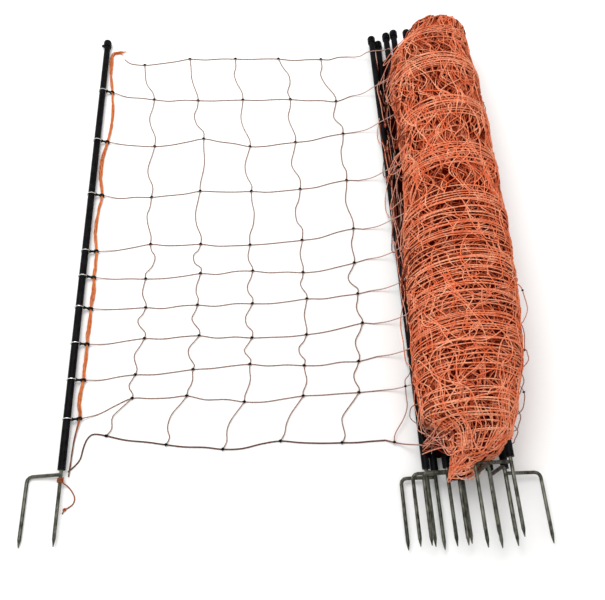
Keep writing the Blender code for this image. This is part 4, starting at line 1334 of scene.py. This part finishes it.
class NETTING_OT_foot_tangle(NettingOperator, bpy.types.Operator):
    """Slack strands that slump over the foot of the roll onto the step bars"""
    bl_idname = "netting.foot_tangle"
    bl_label = "Slumped Foot"

    COUNT = 58
    STEP = 0.005
    # Where the slumped foot starts along Y, its length, and how its middle and reach change towards its tip
    START_Y = -0.548
    LENGTH = 0.082
    MIDDLE_X = (-0.012, -0.052, 1.6)
    MIDDLE_Z = (0.078, -0.044)
    REACH = (0.060, -0.047, 1.2)
    # Lift under the foot's outside at which a strand's painted shade is darkest
    DARK_DEPTH = 0.005
    # Ranges of a strand's length, its lift off the foot's outside, and its run down from the upper rim
    LENGTHS = (0.08, 0.22)
    LIFTS = (-0.008, 0.003)
    UPPER_RIM = 0.12
    RUNS = (0.68, 0.84)
    # Rings and points of the dark mass inside, which is painted shade, how far under the outside it lies, and
    # where it ends
    MASS = (16, 48)
    MASS_DEPTH = 0.0095
    MASS_ENDS = (0.93, 0.05)
    # Place across the foot, width and hang of the loops at its lower rim, and where they hang from
    LOOPS = ((0.50, 1.5, 0.018), (0.22, 0.8, 0.007), (0.80, 0.7, 0.009), (0.36, 0.6, 0.010))
    LOOP_POINTS = 24
    LOOP_DOWN = 0.74
    SIDEWAYS = 1.25

    def execute(self, context):
        sizes = context.scene.netting_sizes
        rng = np.random.default_rng(144)
        strands = StrandMesh(5)
        for _ in range(self.COUNT):
            self.lay_strand(rng, strands, sizes)
        for share, width, hang in self.LOOPS:
            self.hang_loop(strands, share, width, hang, sizes)
        dress_roll(strands, "roll_foot_tangle")
        rings, around = self.MASS
        turns = full_turn(around)
        slump = [self.slumped(turns, np.full(around, down), -self.MASS_DEPTH)
                 for down in np.linspace(*self.MASS_ENDS, rings)]
        dark_mass("roll_foot_mass", [ROLL.keep_clear(ring, 0.0) for ring in slump])
        return {"FINISHED"}

    def reach(self, down):
        start, change, power = self.REACH
        return start + change * down ** power

    def slumped(self, turn, down, lift=0.0):
        """Point on the foot's outside, which narrows and sinks from the roll to the step bars."""
        start, change, power = self.MIDDLE_X
        reach = self.reach(down) + lift
        return np.stack([
            start + change * down ** power + reach * np.cos(turn),
            self.START_Y - self.LENGTH * down - 0.5 * lift,
            self.MIDDLE_Z[0] + self.MIDDLE_Z[1] * down + reach * np.sin(turn),
        ], axis=-1)

    def lay_strand(self, rng, strands, sizes):
        """One curling strand on the slumped foot, turned back at its rims."""
        t = np.linspace(0, 1, int(rng.uniform(*self.LENGTHS) / self.STEP))
        heading = rng.uniform(0, math.tau) + rng.uniform(-7, 7) * t + wander(rng, t, 1.4, 1.0)
        down = rng.uniform(0, 1) + np.cumsum(np.sin(heading)) * self.STEP / self.LENGTH
        down = self.UPPER_RIM + rng.uniform(*self.RUNS) * np.abs(np.mod(down + 1, 2) - 1)
        turn = rng.uniform(0.1, math.pi - 0.1) + np.cumsum(np.cos(heading) / self.reach(down)) * self.STEP
        turn = math.pi / 2 + self.SIDEWAYS * np.sin((turn - math.pi / 2) / self.SIDEWAYS)
        lift = rng.uniform(*self.LIFTS)
        points = self.slumped(turn, down, lift + wander(rng, t, 0.002, 1.5))
        points = ROLL.keep_clear(points, sizes.roll_strand)
        # Strands sunk under the foot's outside get painted shade
        dark = shade(-lift / self.DARK_DEPTH)
        strands.add(points, sizes.roll_strand, ROLL.outward(turn), rng.uniform(0.5, 1.0), dark)

    def hang_loop(self, strands, share, width, hang, sizes):
        """One pale loop that hangs from the slumped foot over the step bars."""
        t = np.linspace(0, 1, self.LOOP_POINTS)
        turn = math.pi * (0.9 - 0.8 * share) + width * (0.5 - t + 0.12 * np.sin(math.tau * t))
        points = self.slumped(turn, np.full(self.LOOP_POINTS, self.LOOP_DOWN), 0.001)
        points[:, 1] -= hang * np.sin(math.pi * t)
        points[:, 2] -= 0.4 * hang * np.sin(math.pi * t)
        points = ROLL.keep_clear(points, sizes.roll_strand)
        strands.add(points, sizes.roll_strand, ROLL.outward(turn), 1.0, 0.0, 0.5)


class NETTING_OT_post_strands(NettingOperator, bpy.types.Operator):
    """Faded strands of the net along the outer posts of the roll, some dark with painted shade, and curls
    over them
    """
    bl_idname = "netting.post_strands"
    bl_label = "Strands Along the Posts"

    COUNT = 16
    DARK = 0.85
    THINNED = 0.9
    STEP = 0.009
    SPREAD = 0.042
    # Distances from the roll's ends between which a strand starts and stops, and its least length
    STARTS = (0.02, 0.45)
    STOPS = (0.55, 0.01)
    LEAST_LENGTH = 0.25
    # Curls over the posts: how many, and between which places along Y
    CURLS = ((30, -0.50, 0.44), (11, -0.575, -0.525))
    CURL_TURN = math.radians(152)
    CURL_POINTS = 26
    CURL_LIFT = 0.0006
    SOFTENED = 3

    def execute(self, context):
        sizes = context.scene.netting_sizes
        rng = np.random.default_rng(233)
        strands = StrandMesh(5)
        outer = ROLL.posts[:, 0].min() - POST_RADIUS
        for number in range(self.COUNT):
            low = rng.uniform(*(ROLL.y[0] + gap for gap in self.STARTS))
            first, last = (ROLL.y[-1] - gap for gap in self.STOPS)
            high = rng.uniform(max(low + self.LEAST_LENGTH, first), last)
            y = np.arange(low, high, self.STEP)
            t = (y - low) / DECIMETRE
            x = outer + self.SPREAD * (number + 0.5) / self.COUNT + wander(rng, t, 0.0055, 0.6)
            y = y + wander(rng, t, 0.005, 1.1)
            z = self.post_level(x) + resting(sizes.roll_strand)
            # Every other strand takes painted shade
            dark = self.DARK if number % 2 else 0.0
            faded = np.clip(rng.uniform(0.2, 0.8) + wander(rng, t, 0.3, 0.3) - dark, 0, 1)
            path = np.stack([x, y, z], axis=1)
            strands.add(path, self.THINNED * sizes.roll_strand, UP, 1.0, dark, faded)
        for curls, low, high in self.CURLS:
            for _ in range(curls):
                self.lay_curl(rng, strands, low, high, sizes)
        dress_roll(strands, "roll_post_strands")
        return {"FINISHED"}

    def lay_curl(self, rng, strands, low, high, sizes):
        """One slack strand from the roll's side out over the posts and back."""
        t = np.linspace(0, 1, self.CURL_POINTS)
        y = rng.uniform(low, high) - rng.uniform(-0.08, 0.12) * (t - 0.5) + wander(rng, t, 0.014, 1.0)
        y = ROLL.y[0] + np.abs(y - ROLL.y[0])
        turn = self.CURL_TURN + rng.uniform(0.45, 1.05) * np.sin(math.pi * t) + wander(rng, t, 0.12, 1.2)
        path = ROLL.surface(y, turn, -self.CURL_LIFT, 1.0, sizes.roll_strand)
        for _ in range(self.SOFTENED):
            path[1:-1] = 0.25 * path[:-2] + 0.5 * path[1:-1] + 0.25 * path[2:]
        tone = rng.uniform(0.4, 1.0)
        # Three curls in five take painted shade
        dark = self.DARK * (rng.uniform() < 0.6)
        faded = rng.uniform(0.1, 0.6) * (1 - dark) * np.clip((turn - self.CURL_TURN) / 0.6, 0, 1)
        strands.add(path, self.THINNED * sizes.roll_strand, ROLL.outward(turn), tone, dark, faded)

    def post_level(self, x):
        """Height of the posts' upper sides at places across, bridged between two posts."""
        away = np.abs(x[:, None] - ROLL.posts[None, :, 0])
        rise = np.sqrt(np.maximum(POST_RADIUS ** 2 - away ** 2, 0))
        level = np.where(away < POST_RADIUS, ROLL.posts[None, :, 1] + rise, 0).max(1)
        return np.convolve(np.pad(level, 2, mode="edge"), np.full(5, 0.2), mode="valid").clip(level)


class NETTING_OT_strays(NettingOperator, bpy.types.Operator):
    """Loops that spring away from the sides of the roll"""
    bl_idname = "netting.strays"
    bl_label = "Stray Loops"

    # Place along Y of both ends, turn round the roll in degrees, reach out of it and darkness
    LOOPS = (
        (-0.255, -0.345, 4, 0.016, 0.35),
        (-0.330, -0.400, -6, 0.014, 0.55),
        (-0.395, -0.430, 2, 0.012, 0.55),
        (-0.440, -0.480, -4, 0.010, 0.80),
        (-0.470, -0.520, 4, 0.012, 0.85),
        (-0.500, -0.545, -8, 0.014, 0.90),
        (-0.535, -0.570, -2, 0.010, 0.85),
        (0.050, 0.010, 176, 0.012, 0.60),
        (-0.492, -0.534, 180, 0.020, 0.95),
        (-0.532, -0.556, 186, 0.016, 0.95),
        (0.230, 0.180, 6, 0.006, 0.60),
        (0.080, 0.020, 2, 0.005, 0.50),
    )
    POINTS = 26
    ROOT_DEPTH = 0.004
    THINNED = 0.85
    # Loops that have a knot, at which of their points it sits, by turns, and its width
    KNOTTED = (0, 1, 4, 7, 10)
    KNOT_POINTS = (8, 18)
    KNOT = 0.0045

    def execute(self, context):
        sizes = context.scene.netting_sizes
        rng = np.random.default_rng(377)
        strands, knots = StrandMesh(6), StrandMesh(8)
        t = np.linspace(0, 1, self.POINTS)
        for number, (start, stop, turn_deg, reach, dark) in enumerate(self.LOOPS):
            y = start + (stop - start) * (t - rng.uniform(0.12, 0.2) * np.sin(math.tau * t))
            turn = math.radians(turn_deg) + rng.uniform(-0.1, 0.1) * np.cos(math.pi * t)
            out = (reach + self.ROOT_DEPTH) * np.sin(math.pi * t) - self.ROOT_DEPTH
            path = ROLL.surface(y, turn, -(out + wander(rng, t, 0.0015, 2.0)), 1.0, sizes.roll_strand)
            thickness = self.THINNED * sizes.roll_strand
            strands.add(path, thickness, ROLL.outward(turn), 0.7, 0.6 * dark, dark)
            if number in self.KNOTTED:
                add_knot(rng, knots, path[self.KNOT_POINTS[number % 2]], self.KNOT)
        dress_roll(strands, "roll_stray_loops")
        ride_on(knots.piece("roll_stray_knots", "black plastic"), "roll", "roll_core")
        return {"FINISHED"}


PIECES = (
    NETTING_OT_stage,
    NETTING_OT_posts,
    NETTING_OT_steel,
    NETTING_OT_net,
    NETTING_OT_edge_cord,
    NETTING_OT_foot_tie,
    NETTING_OT_roll_mass,
    NETTING_OT_roll_rows,
    NETTING_OT_roll_columns,
    NETTING_OT_roll_tangle,
    NETTING_OT_roll_ends,
    NETTING_OT_foot_tangle,
    NETTING_OT_post_strands,
    NETTING_OT_strays,
)


class NETTING_PT_panel(bpy.types.Panel):
    """Settings, and the operators in order"""
    bl_idname = "NETTING_PT_panel"
    bl_label = "Netting Roll"
    bl_space_type = "VIEW_3D"
    bl_region_type = "UI"
    bl_category = "Netting"

    def draw(self, context):
        scene = context.scene
        for group in (scene.netting_sizes, scene.netting_colours, scene.netting_studio):
            box = self.layout.box()
            for name in group.__annotations__:
                box.prop(group, name)
        for operator in PIECES:
            self.layout.operator(operator.bl_idname)


CLASSES = (NettingSizes, NettingColours, NettingStudio, *PIECES, NETTING_PT_panel)


def register():
    for cls in CLASSES:
        bpy.utils.register_class(cls)
    bpy.types.Scene.netting_sizes = PointerProperty(type=NettingSizes)
    bpy.types.Scene.netting_colours = PointerProperty(type=NettingColours)
    bpy.types.Scene.netting_studio = PointerProperty(type=NettingStudio)


def unregister():
    del bpy.types.Scene.netting_studio
    del bpy.types.Scene.netting_colours
    del bpy.types.Scene.netting_sizes
    for cls in reversed(CLASSES):
        bpy.utils.unregister_class(cls)


def main():
    register()
    for operator in PIECES:
        group, name = operator.bl_idname.split(".")
        getattr(getattr(bpy.ops, group), name)()
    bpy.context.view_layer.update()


if __name__ == "__main__":
    main()
